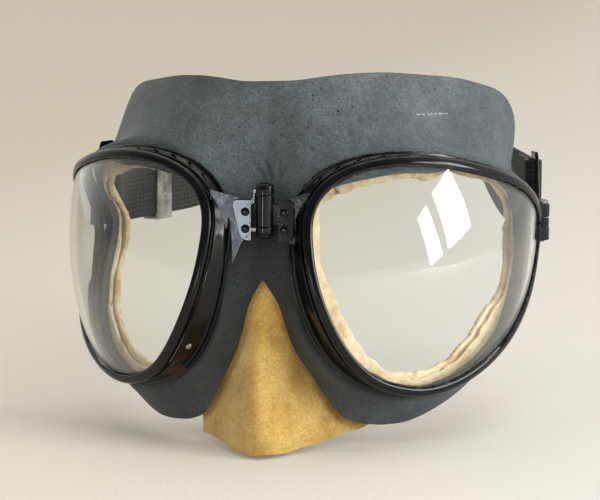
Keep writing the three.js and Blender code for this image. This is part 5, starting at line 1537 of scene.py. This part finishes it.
def strap_piece():
    path = curve_through(strap_path(), 420)
    h = STRAP_WIDTH / 2
    w = STRAP_THICKNESS / 2
    shape = [(-w, -h + 0.5), (-w * 0.5, -h), (w * 0.5, -h), (w, -h + 0.5)]
    shape += [(w, mixed(-h, h, k / 12)) for k in range(1, 12)]
    shape += [(w, h - 0.5), (w * 0.5, h), (-w * 0.5, h), (-w, h - 0.5)]
    shape += [(-w, mixed(h, -h, k / 12)) for k in range(1, 12)]
    loops = []
    run = [0.0]
    for a, b in zip(path, path[1:]):
        run.append(run[-1] + (b - a).length)
    for i, p in enumerate(path):
        tangent = (path[min(i + 1, len(path) - 1)] - path[max(i - 1, 0)]).normalized()
        normal = Vector((tangent.y, -tangent.x, 0))
        middle = TAB_MIDDLE_Z + STRAP_BACK_RISE * eased(p.y, 110, STRAP_BACK_Y)
        loops.append([p + normal * a + Vector((0, 0, middle + b)) for a, b in shape])
    strap = drawn_out("strap_elastic_band", loops, "capped")
    along = strap.data.attributes.new("along_mm", "FLOAT", "POINT")
    across = strap.data.attributes.new("across_mm", "FLOAT", "POINT")
    count = len(shape)
    total = len(strap.data.vertices)
    along.data.foreach_set("value", [run[min(i // count, len(run) - 1)] for i in range(total)])
    across.data.foreach_set("value", [shape[i % count][1] for i in range(total)])
    return smooth(strap, 50)


strap = strap_piece()
dressed(strap, webbing, None, ["strap"])
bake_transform(strap)


# Two rows of stitches hold the sewn end on the right.
def stitches():
    made = []
    for distance in STITCH_ROWS:
        for i in range(STITCHES_A_ROW):
            z = TAB_MIDDLE_Z - STITCH_SPACING * (STITCHES_A_ROW - 1) / 2 + i * STITCH_SPACING
            p = lane(distance, STRAP_LAYER / 2 + STRAP_THICKNESS / 2 + 0.05)
            loops = []
            for k in range(7):
                t = k / 6
                rise = STITCH_RADIUS * math.sin(math.pi * t)
                thick = STITCH_RADIUS * math.sin(math.pi * min(max(t, 0.08), 0.92)) ** 0.5
                centre = p + strap_across * rise + Vector((0, 0, z + STITCH_LENGTH * (t - 0.5)))
                loop = []
                for j in range(6):
                    a = j * math.pi / 3
                    aside = strap_across * thick * math.cos(a)
                    loop.append(centre + aside + strap_along * thick * math.sin(a))
                loops.append(loop)
            made.append(drawn_out("stitch", loops, "capped"))
    deselect()
    for stitch in made:
        stitch.select_set(True)
    bpy.context.view_layer.objects.active = made[0]
    bpy.ops.object.join()
    made[0].name = "strap_stitches"
    return smooth(made[0], 60)


seam = stitches()
dressed(seam, thread, "right_half")


# Slide: a bent-up metal frame round both layers, with a middle bar in front.
def slide_piece():
    inner = STRAP_LAYER / 2 + STRAP_THICKNESS / 2 + SLIDE_CLEARANCE
    outer = inner + SLIDE_METAL
    tall = STRAP_WIDTH / 2 + SLIDE_CLEARANCE + SLIDE_METAL
    half = SLIDE_LENGTH / 2
    slide = block("strap_slide_frame", (-outer, -half, -tall), (outer, half, tall))
    room = tall - SLIDE_METAL
    combine(slide, block("inside", (-inner, -half - 1, -room), (inner, half + 1, room)), "DIFFERENCE")
    end = tall - SLIDE_END
    for low, high in ((-half + SLIDE_SIDE, -SLIDE_BAR / 2), (SLIDE_BAR / 2, half - SLIDE_SIDE)):
        combine(slide, block("window", (inner - 0.2, low, -end), (outer + 1, high, end)), "DIFFERENCE")
    bevel(slide, 0.3)
    at = strap_start + strap_along * SLIDE_AT
    moved(slide, Matrix.Translation(Vector((at.x, at.y, TAB_MIDDLE_Z)) * MM) @ Matrix.Rotation(TOE, 4, "Z"))
    moved(slide, Matrix.Scale(-1, 4, (1, 0, 0)))
    return smooth(clean(slide))


dressed(slide_piece(), nickel, "slide", ["strap_slide"])


# Stage: a pale floor, painted darker to the left as shade, under soft daylight, with a window on the right
# and a paler room behind.
def stage():
    deselect()
    bpy.ops.mesh.primitive_plane_add(size=30, location=(0, 0, cad_low.z - 0.0015))
    floor = bpy.context.object
    floor.name = "floor"
    material, tree, shader, place = new_material("matt_paper_floor")
    tooth = node(tree, "TexNoise", {"Vector": place, "Scale": 900.0, "Detail": 3.0})
    # The floor's colour runs from darker on the left to paler on the right: painted shade, as of a backdrop
    # lit from the right.
    along = node(tree, "MapRange", {0: node(tree, "SeparateXYZ", {0: place}), 1: -0.35, 2: 0.35})
    tone = node(tree, "ValToRGB", {0: along}, [(0.0, "#c4bcae"), (1.0, "#dfddd9")])
    shade = node(tree, "MapRange", {0: tooth, 1: 0.3, 2: 0.7, 3: 0.95, 4: 1.05})
    colour = node(tree, "VectorMath", {0: tone, "Scale": shade}, operation="SCALE")
    link(tree, shader, {"Base Color": colour, "Roughness": 0.95, "Specular IOR Level": 0.1})
    floor.data.materials.append(material)


def lamp(name, at, aim, width, height, watts, colour, lean=0):
    """An area lamp, in metres, turned by some degrees about the line from lamp to aim."""
    data = bpy.data.lights.new(name, "AREA")
    data.shape = "RECTANGLE"
    data.size = width
    data.size_y = height
    data.energy = watts
    data.color = linear(colour)[:3]
    light = bpy.data.objects.new(name, data)
    bpy.context.collection.objects.link(light)
    light.location = at
    turn = (Vector(at) - Vector(aim)).to_track_quat("Z", "Y").to_matrix()
    light.rotation_euler = (turn @ Matrix.Rotation(math.radians(lean), 3, "Z")).to_euler()
    return light


stage()
lamp("window_wide", (1.05, -0.156, 0.307), (0, -0.156, 0.307), 0.31, 0.45, 6.8, "#fbfdff", 16)
lamp("window_narrow", (1.05, -0.5, 0.196), (0, -0.5, 0.196), 0.17, 0.44, 3.2, "#fbfdff", 22)
fill = lamp("room_left", (-0.9, -1.0, 0.6), (0, 0, 0), 0.9, 0.7, 5.0, "#fff8ee")
fill.visible_glossy = False
fill.visible_transmission = False
glint = lamp("bright_wall_left", (-0.08, -0.3, -0.016), (-0.08, 0, -0.016), 0.02, 0.044, 0.048, "#e6f2ff")
glint.visible_diffuse = False

sun = bpy.data.lights.new("sky_above", "SUN")
sun.energy = 1.8
sun.angle = math.radians(60)
sun.color = linear("#fbfaf6")[:3]
overhead = bpy.data.objects.new("sky_above", sun)
bpy.context.collection.objects.link(overhead)
overhead.visible_glossy = False
overhead.visible_transmission = False
overhead.rotation_euler = Vector((0.455, -0.455, 0.766)).to_track_quat("Z", "Y").to_euler()

# The room is dim in front and pale behind.
world = bpy.data.worlds.new("room")
bpy.context.scene.world = world
world.use_nodes = True
room = world.node_tree
facing = node(room, "VectorMath", {0: node(room, "TexCoord").outputs["Generated"], 1: (0.15, 0.95, 0.2)},
              operation="DOT_PRODUCT")
level = node(room, "MapRange", {0: facing.outputs["Value"], 1: -0.45, 2: 0.4, 3: 0.22, 4: 1.05})
link(room, room.nodes["Background"], {"Color": "#f0eeea", "Strength": level})

az = math.radians(AZIMUTH)
el = math.radians(ELEVATION)
towards = Vector((math.sin(az) * math.cos(el), -math.cos(az) * math.cos(el), math.sin(el)))
camera = bpy.data.objects.new("camera", bpy.data.cameras.new("camera"))
bpy.context.collection.objects.link(camera)
camera.location = Vector(TARGET) + towards * DISTANCE
roll = Quaternion((0, 0, 1), math.radians(ROLL))
camera.rotation_euler = (towards.to_track_quat("Z", "Y") @ roll).to_euler()
camera.data.sensor_width = SENSOR_WIDTH
camera.data.lens = FOCAL_PIXELS * SENSOR_WIDTH / IMAGE_WIDTH
camera.data.clip_start = 0.01
bpy.context.scene.camera = camera
bpy.context.scene.view_settings.view_transform = "Standard"
